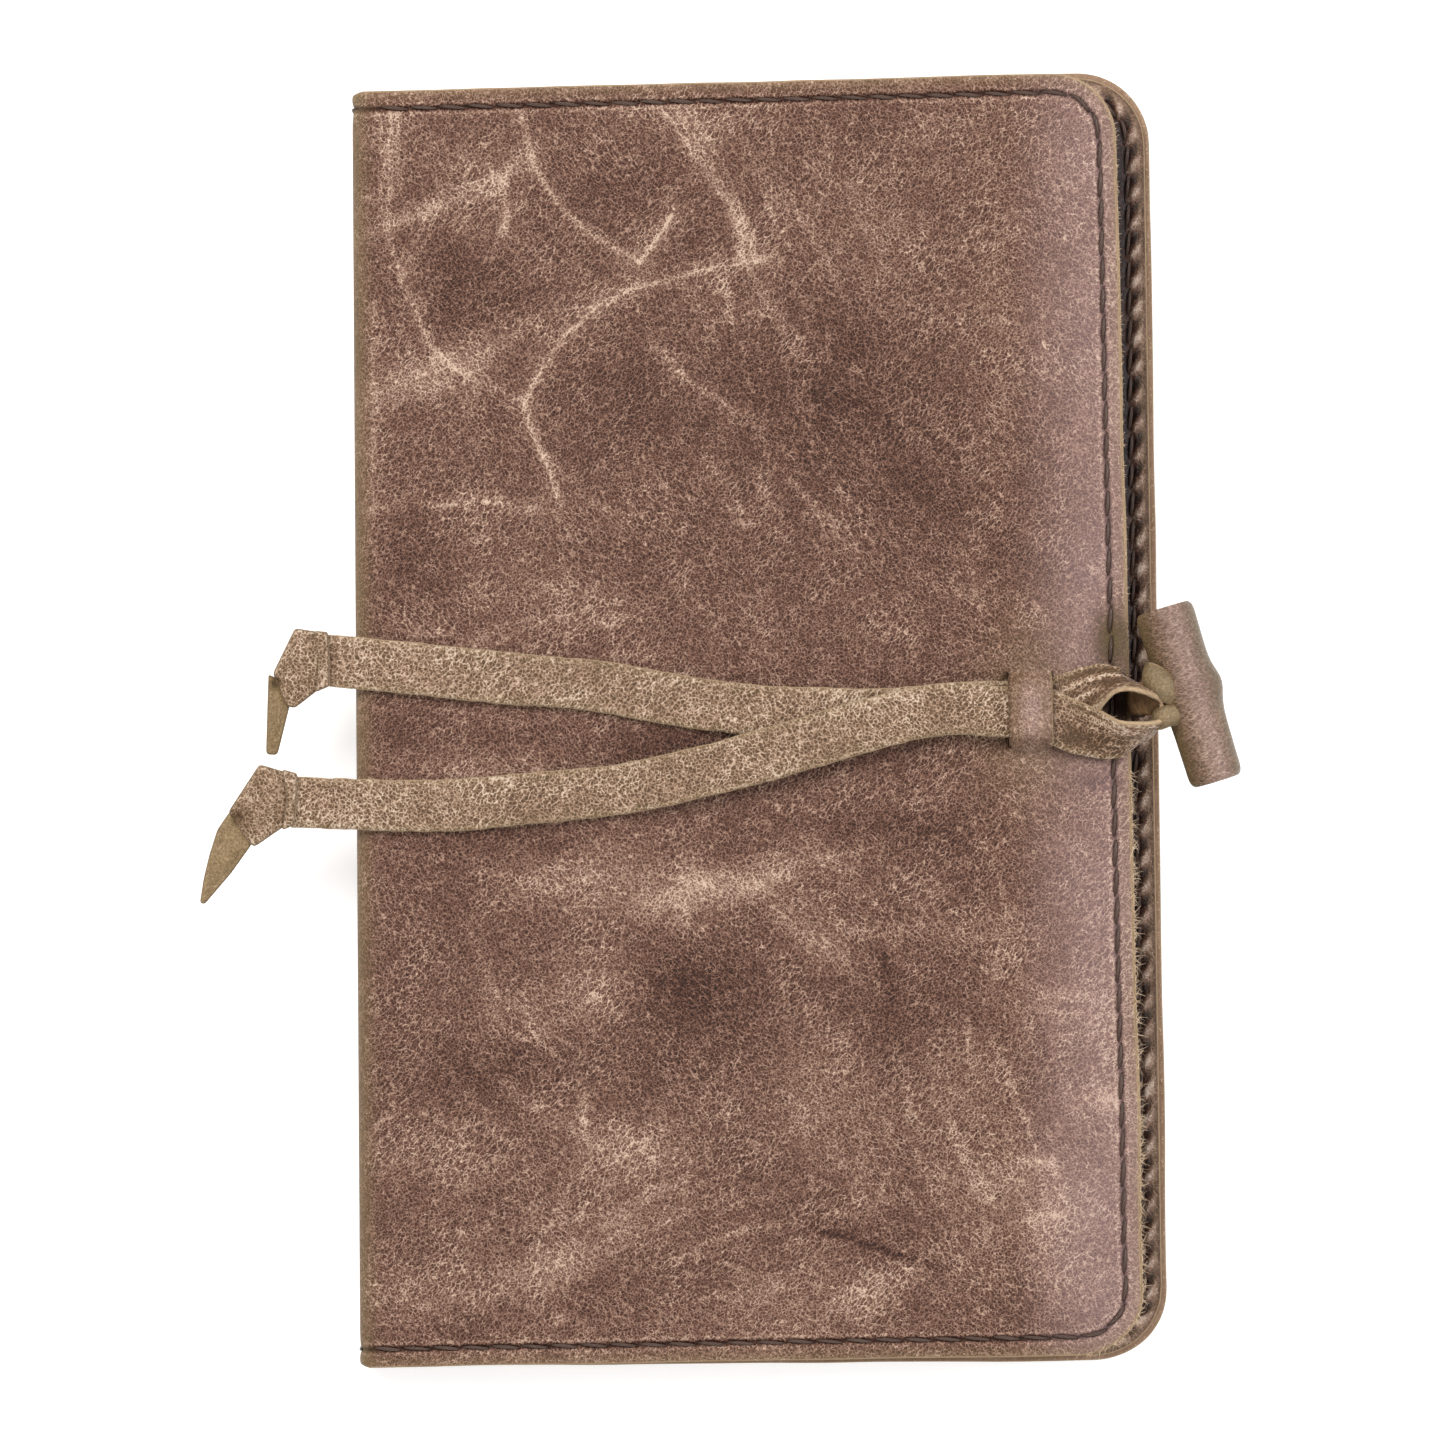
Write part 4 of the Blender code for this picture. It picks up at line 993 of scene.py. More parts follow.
def strap(name, points, width, thick, body=None, node=None, mats=None, seed=1, tone_fn=None, step=0.55, crease=0.0, taper=None, s0=0.0, cup=0.0, fuzz=6.0, keep=None):
    """A flat leather strap. points: x, y, z of its middle and its twist in degrees (0 lies flat, 90 stands on edge with the grain outwards)."""
    R, u = resample(points, step)
    n = len(R)
    T = np.gradient(R[:, :3], axis=0)
    T /= np.linalg.norm(T, axis=1)[:, None]
    hor = np.stack([T[:, 0], T[:, 1], 0 * T[:, 0]], 1)
    hl = np.linalg.norm(hor, axis=1)
    left = np.stack([-T[:, 1], T[:, 0], 0 * T[:, 0]], 1) / np.maximum(hl, 1e-6)[:, None]
    upv = np.cross(T, left)
    th = np.radians(R[:, 3])
    N = np.cos(th)[:, None] * upv + np.sin(th)[:, None] * left
    B = np.cross(N, T)  # right-hand side of the strap
    # cross-section: grain side across, right edge, flesh side back, left edge
    across = np.linspace(-1, 1, 25)
    hw = width / 2
    sec = []  # (b, n, zone, pm across)
    for a in across:
        sec.append((a, 0.5, 0, a * hw))
    for k in range(1, 5):
        sec.append((1.0, 0.5 - k / 5, 2, hw + k * thick / 5))
    for a in across[::-1]:
        sec.append((a, -0.5, 1, a * hw + 40))
    for k in range(1, 5):
        sec.append((-1.0, -0.5 + k / 5, 2, -hw - k * thick / 5))
    m = len(sec)
    V = np.zeros((n, m, 3)); PM = np.zeros((n, m, 3)); TONE = np.zeros((n, m)); OL = np.zeros((n, m)); ZN = np.zeros((n, m), int)
    rng = seed * 17
    wide = (taper(u / u[-1]) if taper else np.ones(n))
    jag_l = 0.16 * (fbm(u / 2.3, 0 * u + 1, rng + 1, 3) - 0.5) * 2 + 0.35 * (vnoise(u / 14, 0 * u, rng + 5) - 0.5)
    jag_r = 0.16 * (fbm(u / 2.3, 0 * u + 5, rng + 2, 3) - 0.5) * 2 + 0.35 * (vnoise(u / 14, 0 * u, rng + 6) - 0.5)
    for j, (b, nn, zone, w) in enumerate(sec):
        half = hw * wide + (jag_r if b > 0 else jag_l) * abs(b) ** 3
        edge_drop = 0.22 * np.exp(-(1 - abs(b)) * hw / 0.45) if zone != 2 else 0.22 + 0 * 0
        bulge = 0.16 * math.sin(math.pi * (0.5 - nn)) if zone == 2 else 0
        sgn = 1 if nn > 0 else -1
        if zone == 2:
            nv = nn * (thick - 2 * 0.22)
        else:
            nv = nn * thick - sgn * edge_drop
        grain = 0.05 * (fbm(u / 1.1, 0 * u + b * hw / 1.1 + 20, rng + 3, 3) - 0.5) * 2 if zone == 0 else (0.12 * (fbm(u / 0.9, 0 * u + b * hw / 0.9 + 40, rng + 4, 3) - 0.5) * 2 if zone == 1 else 0)
        ridge = 0
        if crease and zone == 0:
            k = crease * sstep(LOOP_LO[0] - 1.1, LOOP_LO[0] + 1.9, R[:, 0]) * (1 - sstep(LOOP_HI[0] - 8.4, LOOP_HI[0] - 3.9, R[:, 0]))
            ridge = k * (fbm(0 * u + b * hw / 0.8 + 3, u / 11.0, rng + 7, 2) - 0.5) * 2
        V[:, j] = R[:, :3] + B * ((b * half + math.copysign(bulge, b))[:, None] if np.ndim(b * half) else 0) + N * ((nv + grain + ridge - cup * (b * b) * thick)[:, None] if np.ndim(nv + grain + ridge) else nv)
        PM[:, j, 0] = u + s0
        PM[:, j, 1] = w
        PM[:, j, 2] = seed * 61.0 + zone * 30
        ZN[:, j] = zone
        TONE[:, j] = 0.14 * math.exp(-((1 - abs(b)) * hw / 0.6) ** 2) if zone == 0 else 0
        if tone_fn is not None:
            TONE[:, j] += tone_fn(u / u[-1], b, zone)
        # painted light and shade on the loop's creases: lighter on the ridges, darker in the hollows
        if crease and zone == 0:
            TONE[:, j] += 2.4 * ridge
        OL[:, j] = 0.25 + 0.35 * math.exp(-((1 - abs(b)) * hw / 0.9) ** 2)
    if keep is not None:
        cut = int(np.argmin(np.abs(R[:, 0] - SPLIT_X) + 99 * (u < 0.2 * u[-1])))
        part = slice(0, cut + 1) if keep == "start" else slice(cut, n)
        V, PM, TONE, OL = V[part], PM[part], TONE[part], OL[part]
        R, u, T, N, B, wide = R[part], u[part] - u[part][0], T[part], N[part], B[part], wide[part]
        n = len(R)
    verts = V.reshape(-1, 3)
    faces, fm = [], []
    for i in range(n - 1):
        for j in range(m):
            k = (j + 1) % m
            faces.append((i * m + j, (i + 1) * m + j, (i + 1) * m + k, i * m + k))
            z0, z1 = sec[j][2], sec[k][2]
            fm.append(0 if (z0 == 0 and z1 == 0) else 1 if (z0 == 1 and z1 == 1) else 2)
    faces.append(tuple(range(m))); fm.append(2)
    faces.append(tuple((n - 1) * m + j for j in range(m))[::-1]); fm.append(2)
    r2 = np.random.RandomState(rng)
    FV, FF = [], []
    for _ in range(int(fuzz * u[-1])):
        i, sd = r2.randint(1, n - 1), r2.choice((-1, 1))
        root = R[i, :3] + B[i] * sd * hw * wide[i] * 0.985 + N[i] * thick * r2.uniform(-0.45, 0.3)
        way = B[i] * sd + T[i] * r2.uniform(-1.4, 1.4) + N[i] * r2.uniform(-0.5, 0.4)
        fibre(r2, root, way, r2.uniform(0.2, 0.75), r2.uniform(0.025, 0.045), FV, FF)
    nb, nf = len(verts), len(FV)
    pm, tn, ol = PM.reshape(-1, 3), TONE.ravel(), OL.ravel()
    if nf:
        verts = np.concatenate([verts, np.array(FV)])
        faces += [tuple(k + nb for k in f) for f in FF]
        fm += [3] * len(FF)
        pm, tn, ol = np.concatenate([pm, np.array(FV)]), np.concatenate([tn, np.zeros(nf)]), np.concatenate([ol, np.zeros(nf)])
    ob = mesh_obj(name, verts, faces, mats or [LACE, LACE_FLESH, LACE_EDGE, FIBRE], fm,
                  {"pm": pm, "tone": tn, "olive": ol, "painted_sheen": 0 * tn})
    if body:
        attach(ob, body)
    if node:
        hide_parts(*([node] if isinstance(node, str) else node))
    return ob, R, u


LW, LTK = 8.6, 1.3
RUN_LO, RUN_HI = box("lace_run_lower", "lace_run_upper")
RUN_Y = (RUN_LO[1] + RUN_HI[1]) / 2
Z1 = sum(b[2] for b in box("lace_run_lower")) / 2
Z2 = sum(b[2] for b in box("lace_run_upper")) / 2
SPLIT_X = (RUN_LO[0] + box("upper_tail")[1][0]) / 2


def tail_line(node, knot_node, stations, heights):
    """A tail's middle line, read from its CAD strap at some stations from the bridge, and carried on into its knot."""
    end = box(node)[0][0]
    xs = [SPLIT_X - q for q in stations]
    last = min(xs[-1], end + 3)
    xs[-1] = last
    ys = [mid_y(node, x) for x in xs]
    slope = (ys[-1] - ys[-2]) / (xs[-1] - xs[-2])
    knot_x = box(knot_node)[1][0] - 1.0
    return [(x, y, z, 0) for x, y, z in zip(xs, ys, heights)] + [(knot_x, ys[-1] + slope * (knot_x - xs[-1]), Z1 + 0.1, 0)]


# upper tail: from under the bridge to its knot; the two runs lie half a millimetre to either side of each other
up_pts = [(BAND[0] - 1.1, RUN_Y + 0.5, Z1, 0), (BAND[0] - 3.9, RUN_Y + 0.5, Z1, 0), (BAND[0] - 7.1, RUN_Y + 0.4, Z1, 0), (SPLIT_X, RUN_Y + 0.2, Z1, 0)]
up_pts += tail_line("upper_tail", "upper_knot", (3.8, 13.8, 23.9, 36.5, 48.0, 61.7, 75.5, 90.6, 101.0), [Z1, Z1, Z1, Z1, Z1, Z1 + .05, Z1, Z1 + 0.1, Z1 + 0.2])
upper_tail, R_up, u_up = strap("upper_tail_lace", up_pts[::-1], LW, LTK, None, ["upper_tail", "lace_run_lower"], seed=2)
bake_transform(upper_tail)
lo_pts = [(SPLIT_X, RUN_Y - 0.1, Z2, 0)]
lo_pts += tail_line("lower_tail", "lower_knot", (3.8, 11.4, 21.4, 29.1, 36.5, 44.1, 51.7, 61.8, 75.6, 90.8, 103.0), [Z2, Z2, Z2, Z2, Z2 - 0.02, Z2 - 0.15, Z2 - 0.75, Z1 + 0.15, Z1, Z1, Z1 + 0.15])

# the loop: leaves the bridge flat, stands on edge round the thong, and comes back flat
# each row is x from the CAD loop's end, y from the run's middle, z from the lower run's, and the twist
LOOP0 = (LOOP_HI[0], RUN_Y, Z1)
loop_pts = off(LOOP0, [(-23.85, 0.5, 0.0, 0), (-20.4, 0.5, 0.0, 0), (-18.4, 0.8, 0.1, 2), (-15.3, 1.9, 0.4, 12), (-11.7, 3.4, 1.7, 32), (-8.9, 4.2, 2.8, 55), (-6.5, 4.3, 3.3, 76),
                       (-4.1, 3.5, 2.3, 86), (-1.7, 2.1, 0.4, 90), (-0.4, 0.1, -0.4, 90), (-0.4, -1.9, -0.4, 90), (-1.5, -3.6, 0.4, 84), (-3.3, -4.5, 2.0, 72), (-5.9, -5.1, 3.1, 56),
                       (-8.4, -5.1, 2.9, 42), (-11.7, -4.3, 2.0, 26), (-15.3, -3.2, 1.45, 12), (-18.4, -1.8, 1.5, 3), (-20.9, -0.8, 1.48, 0), (-26.5, -0.6, 1.52, 0), (-29.9, -0.4, 1.5, 0)])


# one strap, parted at the tails' hinge line, so that the two parts meet exactly
lace_loop, R_loop, u_loop = strap("lace_loop_leather", loop_pts + lo_pts, LW, LTK, None, ["lace_loop", "lace_run_upper"], seed=4, crease=0.34, step=0.45, keep="start")
lower_tail, R_lo, u_lo = strap("lower_tail_lace", loop_pts + lo_pts, LW, LTK, "lower_tail", "lower_tail", seed=4, crease=0.34, step=0.45, keep="end")
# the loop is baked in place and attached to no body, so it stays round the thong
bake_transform(lace_loop)


# ------------------------------------------------------------------ knots
def layer(outline, z0, z1, dome=0.5, seed=1, tilt=(0, 0), tone=0.0, n=96, crown=None, top=0, soften=3, pinch=None):
    """A folded lobe of the lace: closed outline in plan, rounded over its edge. Returns verts, faces, mats, pm, tone, olive."""
    P = np.array(outline, float)
    P = np.vstack([P, P[:1]])
    s = np.concatenate([[0], np.cumsum(np.linalg.norm(np.diff(P, axis=0), axis=1))])
    u = np.linspace(0, s[-1], n, endpoint=False)
    ring = np.stack([np.interp(u, s, P[:, 0]), np.interp(u, s, P[:, 1])], 1)
    for _ in range(soften):
        ring = 0.5 * ring + 0.25 * (np.roll(ring, 1, 0) + np.roll(ring, -1, 0))
    c = ring.mean(0) if crown is None else np.array(crown)
    T = np.roll(ring, -1, 0) - np.roll(ring, 1, 0)
    T /= np.linalg.norm(T, axis=1)[:, None]
    area = np.sum(ring[:, 0] * np.roll(ring[:, 1], -1) - ring[:, 1] * np.roll(ring[:, 0], -1))
    nrm = np.stack([T[:, 1], -T[:, 0]], 1) * (1 if area > 0 else -1)
    rows = []
    h = z1 - z0
    prof = [(0.0, 0.10, 1), (0.0, 0.0, 1)]
    levels = [(-0.35, 0.06, 2), (0.0, 0.25, 2), (0.06, 0.5, 2), (0.0, 0.76, 2), (-0.22, 0.93, 0), (-0.55, 1.0, 0)]
    V, PM, TN, OL = [], [], [], []
    for off, hz, zone in levels:
        for k in range(n):
            x, y = ring[k] + nrm[k] * off
            V.append((x, y, z0 + h * hz + tilt[0] * (x - c[0]) + tilt[1] * (y - c[1])))
            PM.append((x, y, seed * 37.0 + (hz * 3 if zone == 2 else 0)))
            TN.append(tone + (0.12 if zone == 2 else 0.10)); OL.append(0.5)
    inner_steps = 9
    for q in range(1, inner_steps + 1):
        f = 1 - q / inner_steps
        for k in range(n):
            e = ring[k] + nrm[k] * -0.55
            x, y = c + (e - c) * f
            rr = 1 - f
            z = z0 + h * (1.0 + dome * (1 - f ** 2.2)) + 0.10 * (fbm(np.array(x / 1.3), np.array(y / 1.3), seed + 3, 3) - 0.5)
            V.append((x, y, float(z) + tilt[0] * (x - c[0]) + tilt[1] * (y - c[1])))
            PM.append((x, y, seed * 37.0)); TN.append(tone); OL.append(0.35)
    F, M = [], []
    total = len(levels) + inner_steps
    for i in range(total - 1):
        for k in range(n):
            a, b = i * n + k, i * n + (k + 1) % n
            f = (a, b, b + n, a + n)
            F.append(f if area > 0 else f[::-1])
            M.append(2 if i < 3 else top)
    F.append(tuple(range(n))[::-1] if area > 0 else tuple(range(n))); M.append(1)
    F.append(tuple((total - 1) * n + k for k in range(n)) if area > 0 else tuple((total - 1) * n + k for k in range(n))[::-1]); M.append(top)
    if pinch is not None:
        for k, (x, y, z) in enumerate(V):
            g = math.exp(-((x - pinch[0]) ** 2 + (y - pinch[1]) ** 2) / 0.9)
            if z > z0 + 0.4 * h:
                V[k] = (x, y, z - 0.8 * h * g * 0.8)
            # painted shade in the pinched dip
            TN[k] -= 0.55 * g
    return V, F, M, PM, TN, OL


def knot(name, layers, body, node):
    V, F, M, PM, TN, OL = [], [], [], [], [], []
    for v, f, m, pm, tn, ol in layers:
        o = len(V)
        V += v; PM += pm; TN += tn; OL += ol; M += m
        F += [tuple(i + o for i in g) for g in f]
    V = np.array(V, float)
    lo, hi = box(node)
    a, b = V[:, :2].min(0), V[:, :2].max(0)
    V[:, :2] = lo[:2] + (V[:, :2] - a) * (hi - lo)[:2] / (b - a)
    ob = mesh_obj(name, V, F, [LACE, LACE_FLESH, LACE_EDGE, TIP], M, {"pm": PM, "tone": TN, "olive": OL, "painted_sheen": np.zeros(len(V))}, sharp=70)
    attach(ob, body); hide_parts(node)
    return ob


# outlines are in mm from each knot's own corner; knot() sets them in its CAD box
K0 = box("upper_knot")[0][2]
upper_knot = knot("upper_knot_lace", [
    layer([(0.6, 14.1), (2.7, 13.1), (4.2, 8.6), (2.1, 0.3), (1.7, 0.0), (0.3, 0.1), (0.1, 0.5)], K0, K0 + 1.5, 0.5, 13, tone=0.0, top=3, soften=1, pinch=(1.9, 12.6)),
    layer([(5.3, 22.2), (10.6, 21.3), (10.7, 12.5), (5.1, 8.2), (3.7, 8.6), (1.4, 14.3)], K0 + 0.5, K0 + 2.3, 0.35, 11, soften=2, pinch=(1.9, 12.9)),
    layer([(8.7, 21.7), (11.0, 21.5), (11.3, 16.7), (11.2, 12.0), (8.8, 11.0), (9.3, 16.7)], K0 + 0.9, K0 + 3.0, 0.2, 12, tone=0.05, soften=2),
], "upper_tail", "upper_knot")
lower_knot = knot("lower_knot_lace", [
    layer([(5.3, 15.7), (8.1, 14.6), (9.0, 10.1), (5.5, 5.3), (0.9, 0.0), (0.1, 0.2), (0.8, 4.4), (1.8, 8.4), (3.2, 12.7)], K0, K0 + 1.6, 0.5, 23, tone=0.0, top=3, soften=1, pinch=(6.8, 14.6)),
    layer([(10.5, 23.8), (16.5, 22.0), (15.7, 13.9), (9.5, 9.7), (8.4, 10.7), (5.1, 15.7)], K0 + 0.5, K0 + 2.3, 0.35, 21, soften=2, pinch=(6.5, 14.7)),
    layer([(14.5, 22.9), (17.0, 22.2), (16.9, 17.9), (16.4, 13.4), (14.4, 12.6), (15.1, 17.9)], K0 + 0.9, K0 + 3.0, 0.2, 22, tone=0.05, soften=2),
], "lower_tail", "lower_knot")


# ------------------------------------------------------------------ toggle: leather rolled up on itself
def toggle():
    top, bot = bar_ends("toggle_roll")
    ax = (bot - top) / np.linalg.norm(bot - top)
    side = np.array((-ax[1], ax[0], 0.0))  # towards the opening side
    upv = np.array((0, 0, 1.0))
    turns, t_sheet = 2.35, 1.5
    na, ns = 120, 52
    V, PM, TN, OL, CO = [], [], [], [], []
    for i in range(ns):
        s = i / (ns - 1)
        s = s + 0.11 * math.sin(2 * math.pi * s) * -1  # closer together at the ends
        p = top + (bot - top) * s
        grow = 1.03 - 0.10 * s + 0.07 * math.exp(-((s - 0.47) / 0.10) ** 2)
        endr = 0.75 * math.exp(-min(s, 1 - s) * 31 / 0.55)
        for face in (0, 1):
            for k in range(na):
                a = k / (na - 1)
                ang = math.radians(74) + a * turns * 2 * math.pi
                r = 1.45 + (4.72 - 1.45) * a
                r = r * grow * 1.16 + 0.06 * (float(vnoise(np.array(s * 7), np.array(a * 9 + 3), 77)) - 0.5) * 2
                if a > 0.57:
                    bulge = 0.75 * math.exp(-((s - 0.47) / 0.09) ** 2) * max(0, math.cos(ang - math.radians(10))) ** 2
                    r += bulge
                    r -= endr
                if face == 1:
                    r -= t_sheet
                    if a > 0.93:
                        r += 0.6 * ((a - 0.93) / 0.07) ** 2 * (1 - sstep(0.03, 0.35, s))
                if k == na - 1:
                    r -= 0.18 if face == 0 else -0.18
                q = p + side * math.cos(ang) * r + upv * math.sin(ang) * r * 0.97
                q = q + ax * (0.35 * math.sin(a * 9.0) * (1 if s > 0.5 else -1) * abs(s - 0.5) * 2 * (a > 0.3))
                V.append(q)
                PM.append((s * 32, a * turns * 14, 700 + face * 30))
                # painted light on the roll: darker, olive sides and a lighter top with a painted sheen, as the light
                # falls from above; a little lighter near the ends and along the sheet's outer edge
                edge = abs(math.cos(ang)) ** 3
                TN.append(0.10 * math.exp(-min(s, 1 - s) * 32 / 0.8) + (0.2 if k > na - 3 else 0) - 0.40 * edge + 0.12 * math.exp(-((math.cos(ang) - 0.1) / 0.3) ** 2))
                OL.append(0.9 * edge); CO.append(0.32 * math.exp(-((math.cos(ang) - 0.15) / 0.4) ** 2))
    F, M = [], []
    per = 2 * na

    def vid(i, face, k):
        return i * per + face * na + k
    for i in range(ns - 1):
        for k in range(na - 1):
            F.append((vid(i, 0, k), vid(i, 0, k + 1), vid(i + 1, 0, k + 1), vid(i + 1, 0, k))); M.append(0)
            F.append((vid(i, 1, k), vid(i + 1, 1, k), vid(i + 1, 1, k + 1), vid(i, 1, k + 1))); M.append(1)
        F.append((vid(i, 0, 0), vid(i + 1, 0, 0), vid(i + 1, 1, 0), vid(i, 1, 0))); M.append(2)
        F.append((vid(i, 0, na - 1), vid(i, 1, na - 1), vid(i + 1, 1, na - 1), vid(i + 1, 0, na - 1))); M.append(2)
    for k in range(na - 1):
        F.append((vid(0, 0, k), vid(0, 1, k), vid(0, 1, k + 1), vid(0, 0, k + 1))); M.append(2)
        F.append((vid(ns - 1, 0, k), vid(ns - 1, 0, k + 1), vid(ns - 1, 1, k + 1), vid(ns - 1, 1, k))); M.append(2)
    ob = mesh_obj("rolled_toggle", np.array(V), F, [ROLLM, LACE_FLESH, LACE_EDGE], M,
                  {"pm": PM, "tone": TN, "olive": OL, "painted_sheen": CO}, sharp=60)
    face_out(ob)
    return ob


roll = toggle()
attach(roll, "toggle"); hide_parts("toggle_roll")

# thong: two straps side by side over the loop's end, down through the loop's eye to the back pocket
# x from the CAD thong's inner side, y from its middle, z from the roll's axis
THONG_LO, THONG_HI = box("toggle_thong")
THONG0 = (THONG_LO[0], (THONG_LO[1] + THONG_HI[1]) / 2, bar_ends("toggle_roll")[0][2])
th_a = off(THONG0, [(6.9, 1.7, 3.1, 0), (5.2, 2.5, 4.3, 0), (3.4, 3.4, 4.5, 0), (1.9, 4.1, 3.5, 0), (1.6, 4.2, 2.0, 0), (2.6, 3.8, 1.1, 0)])
th_b = off(THONG0, [(7.5, -2.1, 2.8, 0), (5.9, -2.4, 3.7, 0), (4.4, -2.7, 3.6, 0), (3.2, -2.9, 2.5, 0), (3.4, -2.9, 1.2, 0)])
# the rough middle of the thong: under the two tabs, down through the loop to the pocket
th_c = off(THONG0, [(5.6, 0.3, 2.0, 0), (3.1, 0.3, 2.2, 0), (0.7, 0.3, 1.6, 0), (-1.0, 0.2, 0.6, 0), (-0.5, 0.1, -0.5, 0), (0.5, 0.1, -2.8, 0), (0.6, 0.0, -5.4, 0), (0.8, 0.0, -8.4, 0), (0.8, 0.0, THONG_LO[2] - THONG0[2], 0)])


def thong(name, pts, seed, TW, mats, cup=0.55, rough=0.0):
    """Straps that turn in the XZ plane, so their width stays along Y."""
    R, u = resample(pts, 0.45)
    n = len(R)
    T = np.gradient(R[:, :3], axis=0)
    T /= np.linalg.norm(T, axis=1)[:, None]
    Yv = np.tile((0.0, 1.0, 0.0), (n, 1))
    B = Yv - T * np.sum(Yv * T, 1)[:, None]
    B /= np.linalg.norm(B, axis=1)[:, None]
    N = np.cross(B, T)
    N *= np.sign(N[n // 4, 2]) or 1
    th = 1.35
    sec = [(a, 0.5, 0) for a in np.linspace(-1, 1, 15)] + [(1, 0.2, 2), (1, -0.2, 2)] + [(a, -0.5, 1) for a in np.linspace(1, -1, 15)] + [(-1, -0.2, 2), (-1, 0.2, 2)]
    m = len(sec)
    V = np.zeros((n, m, 3)); PM = np.zeros((n, m, 3)); TN = np.zeros((n, m))
    for j, (b, nn, zone) in enumerate(sec):
        half = TW / 2 * (1 + 0.10 * (vnoise(u / 2.5, 0 * u + b, seed) - 0.5))
        drop = 0.25 * math.exp(-(1 - abs(b)) * TW / 2 / 0.4)
        nv = nn * th - math.copysign(drop, nn) + (-cup * b * b if zone != 2 else -cup) + rough * (fbm(u / 1.3, 0 * u + b * 1.9 + 4, seed + 50, 3) - 0.5) * 2
        V[:, j] = R[:, :3] + B * (b * half)[:, None] + N * (nv + 0 * u)[:, None]
        PM[:, j] = np.stack([u, 0 * u + b * TW / 2 + zone * 20, 0 * u + seed * 40], 1)
        # painted shade: darker towards the curled-down sides and lighter along the middle, with a pale line at the very
        # edge
        TN[:, j] = 0.14 - 0.34 * b * b + 0.30 * math.exp(-((1 - abs(b)) * TW / 2 / 0.25) ** 2)
    F, M = [], []
    for i in range(n - 1):
        for j in range(m):
            k = (j + 1) % m
            F.append((i * m + j, i * m + k, (i + 1) * m + k, (i + 1) * m + j))
            z0, z1 = sec[j][2], sec[k][2]
            M.append(0 if z0 == z1 == 0 else 1 if z0 == z1 == 1 else 2)
    F.append(tuple(range(m))[::-1]); M.append(2)
    F.append(tuple((n - 1) * m + j for j in range(m))); M.append(2)
    ob = mesh_obj(name, V.reshape(-1, 3), F, mats, M,
                  {"pm": PM.reshape(-1, 3), "tone": TN.ravel(), "olive": 0.6 + 0 * TN.ravel(), "painted_sheen": 0 * TN.ravel()}, sharp=60)
    face_out(ob)
    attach(ob, "thong")
    return ob


TAB = leather("tab_leather", [(0.0, (0.03, 0.016, 0.006)), (0.3, (0.10, 0.062, 0.028)), (0.6, (0.25, 0.17, 0.09)), (1.0, (0.50, 0.38, 0.25))], cell=0.8, line=0.25, depth=0.00016, rough=0.42, spec=0.4, cloud=0.3, base=0.42)
thong_a = thong("thong_upper_tab", th_a, 5, 5.0, [TAB, LACE_FLESH, LACE_EDGE], 0.65)
thong_b = thong("thong_lower_tab", th_b, 6, 3.9, [TAB, LACE_FLESH, LACE_EDGE], 0.6)
# the neck is flesh side all round: its darkness is partly painted shade for the loop's eye
thong_c = thong("thong_neck", th_c, 7, 5.6, [LACE_FLESH, LACE_FLESH, LACE_FLESH], 0.3, 0.6)
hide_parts("toggle_thong")

# the thong's sewn-in end keeps its CAD shape
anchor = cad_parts["thong_anchor"]
ANCHOR = rough_leather("anchor_leather", (0.16, 0.09, 0.055), (0.42, 0.29, 0.19))
for n_ in ANCHOR.node_tree.nodes:
    if n_.type == "ATTRIBUTE":
        co = ANCHOR.node_tree.nodes.new("ShaderNodeTexCoord")
        sc = ANCHOR.node_tree.nodes.new("ShaderNodeVectorMath"); sc.operation = "SCALE"; sc.inputs["Scale"].default_value = 1000
        ANCHOR.node_tree.links.new(co.outputs["Object"], sc.inputs[0])
        for l in list(n_.outputs["Vector"].links):
            ANCHOR.node_tree.links.new(sc.outputs[0], l.to_socket)
anchor.data.materials.clear()
anchor.data.materials.append(ANCHOR)

def edge_fibres(name, C, W, H, r, count, z_lo, z_hi, long_of, seed, body):
    rng = np.random.RandomState(seed)
    V, F = [], []
    total = float(along(W, H, r, np.array(10.0), np.array(50.0))[1])
    for _ in range(count):
        t = rng.uniform(4, total - 4)
        keep, longest = long_of(t / total)
        if rng.rand() > keep:
            continue
        X, Y, dx, dy = row_point(W, H, r, 0.25, t)
        x, y = bilerp(C, W, H, np.array(X), np.array(Y))
        out = np.array((-dy, dx, 0.0))
        way = out * rng.uniform(0.2, 1.0) + np.array((dx, dy, 0)) * rng.uniform(-1.3, 1.3) + np.array((0, 0, rng.uniform(-0.5, 0.35)))
        if rng.rand() < 0.25:
            way = -out * rng.uniform(0.2, 0.8) + np.array((dx, dy, 0)) * rng.uniform(-1.0, 1.0) + np.array((0, 0, 0.25))
        fibre(rng, (float(x), float(y), rng.uniform(z_lo, z_hi)), way, rng.uniform(0.25, longest), rng.uniform(0.04, 0.085), V, F)
    ob = mesh_obj(name, np.array(V), F, [FIBRE], attrs={"pm": V})
    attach(ob, body)


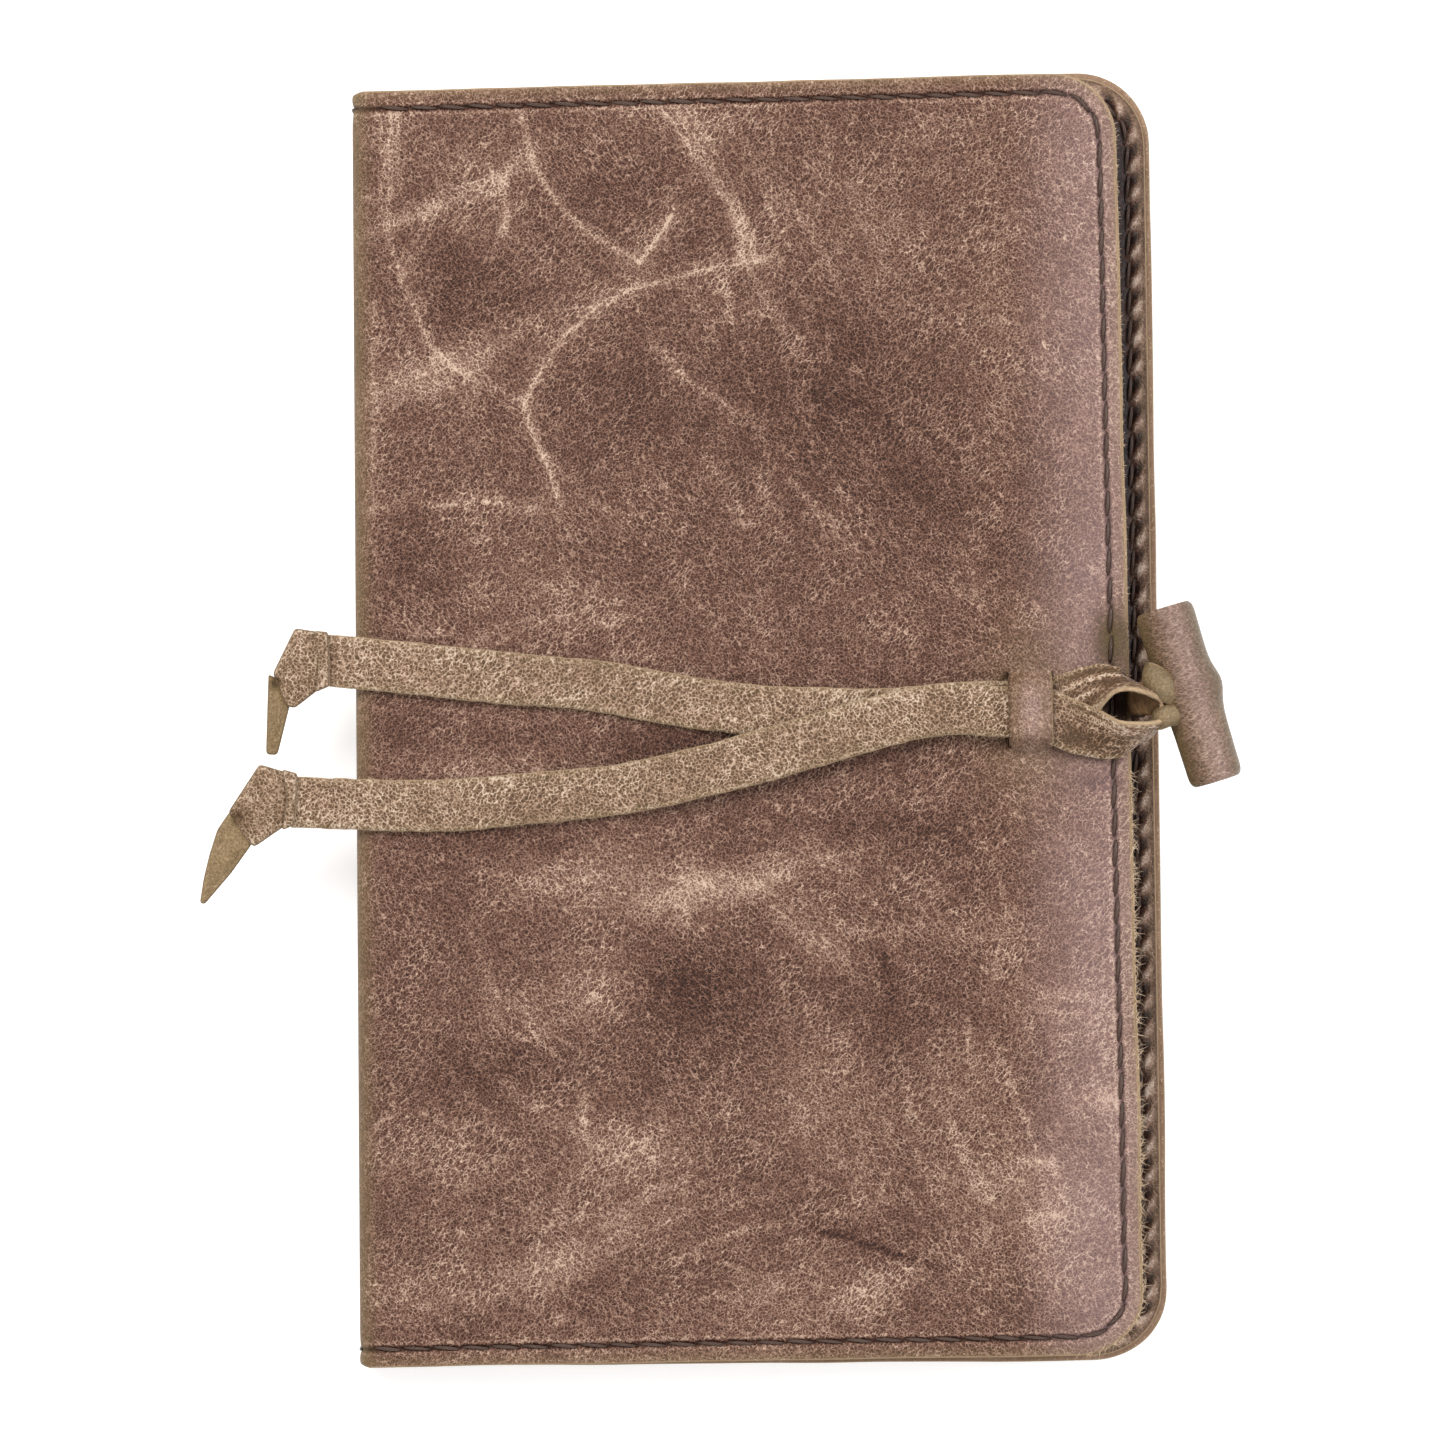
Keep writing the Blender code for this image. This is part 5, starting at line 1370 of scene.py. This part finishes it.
edge_fibres("front_edge_fibres", FRONT, FW, FH, FR, 3800, S - 1.5, S - 0.1, lambda f: (1.0, 2.1) if 0.52 < f < 0.74 else ((0.45, 0.9) if 0.27 < f < 0.52 else (0.12, 0.5)), 8, "front")
edge_fibres("back_edge_fibres", BACK, BW, BH, BR, 1400, 0.3, 3.0, lambda f: (0.8, 0.8) if 0.27 < f < 0.75 else (0.2, 0.4), 9, "back")

# ------------------------------------------------------------------ stage and light
me = bpy.data.meshes.new("floor")
me.from_pydata([(-3, -3, 0), (3, -3, 0), (3, 3, 0), (-3, 3, 0)], [], [(0, 1, 2, 3)])
floor = bpy.data.objects.new("floor", me)
floor.location.z = -0.0004
fm_ = bpy.data.materials.new("floor")
fm_.use_nodes = True
b = fm_.node_tree.nodes["Principled BSDF"]
b.inputs["Base Color"].default_value = (0.9, 0.9, 0.9, 1)
b.inputs["Roughness"].default_value = 0.8
b.inputs["Specular IOR Level"].default_value = 0.1
b.inputs["Emission Color"].default_value = (1, 1, 1, 1)
b.inputs["Emission Strength"].default_value = 0.35
me.materials.append(fm_)
scene.collection.objects.link(floor)


def area(name, loc, target, size, power, colour=(1, 1, 1)):
    l = bpy.data.lights.new(name, "AREA")
    l.shape = "RECTANGLE"
    l.size, l.size_y = size
    l.energy = power
    l.color = colour
    o = bpy.data.objects.new(name, l)
    o.location = loc
    from mathutils import Vector
    o.rotation_euler = (Vector(target) - Vector(loc)).to_track_quat("-Z", "Y").to_euler()
    scene.collection.objects.link(o)
    return o


area("key", (-0.55, 0.75, 0.95), (0, 0, 0), (0.7, 0.7), 17.0, (1, 0.985, 0.97))
area("side", (0.95, 0.25, 0.75), (0.05, 0, 0), (0.7, 0.9), 11.0, (0.93, 0.95, 1.0))
area("low", (0.1, -1.0, 0.8), (0, 0, 0), (1.0, 0.6), 6.0, (1, 1, 1))
world = bpy.data.worlds.new("world")
world.use_nodes = True
world.node_tree.nodes["Background"].inputs["Color"].default_value = (1, 1, 1, 1)
world.node_tree.nodes["Background"].inputs["Strength"].default_value = 0.55
scene.world = world
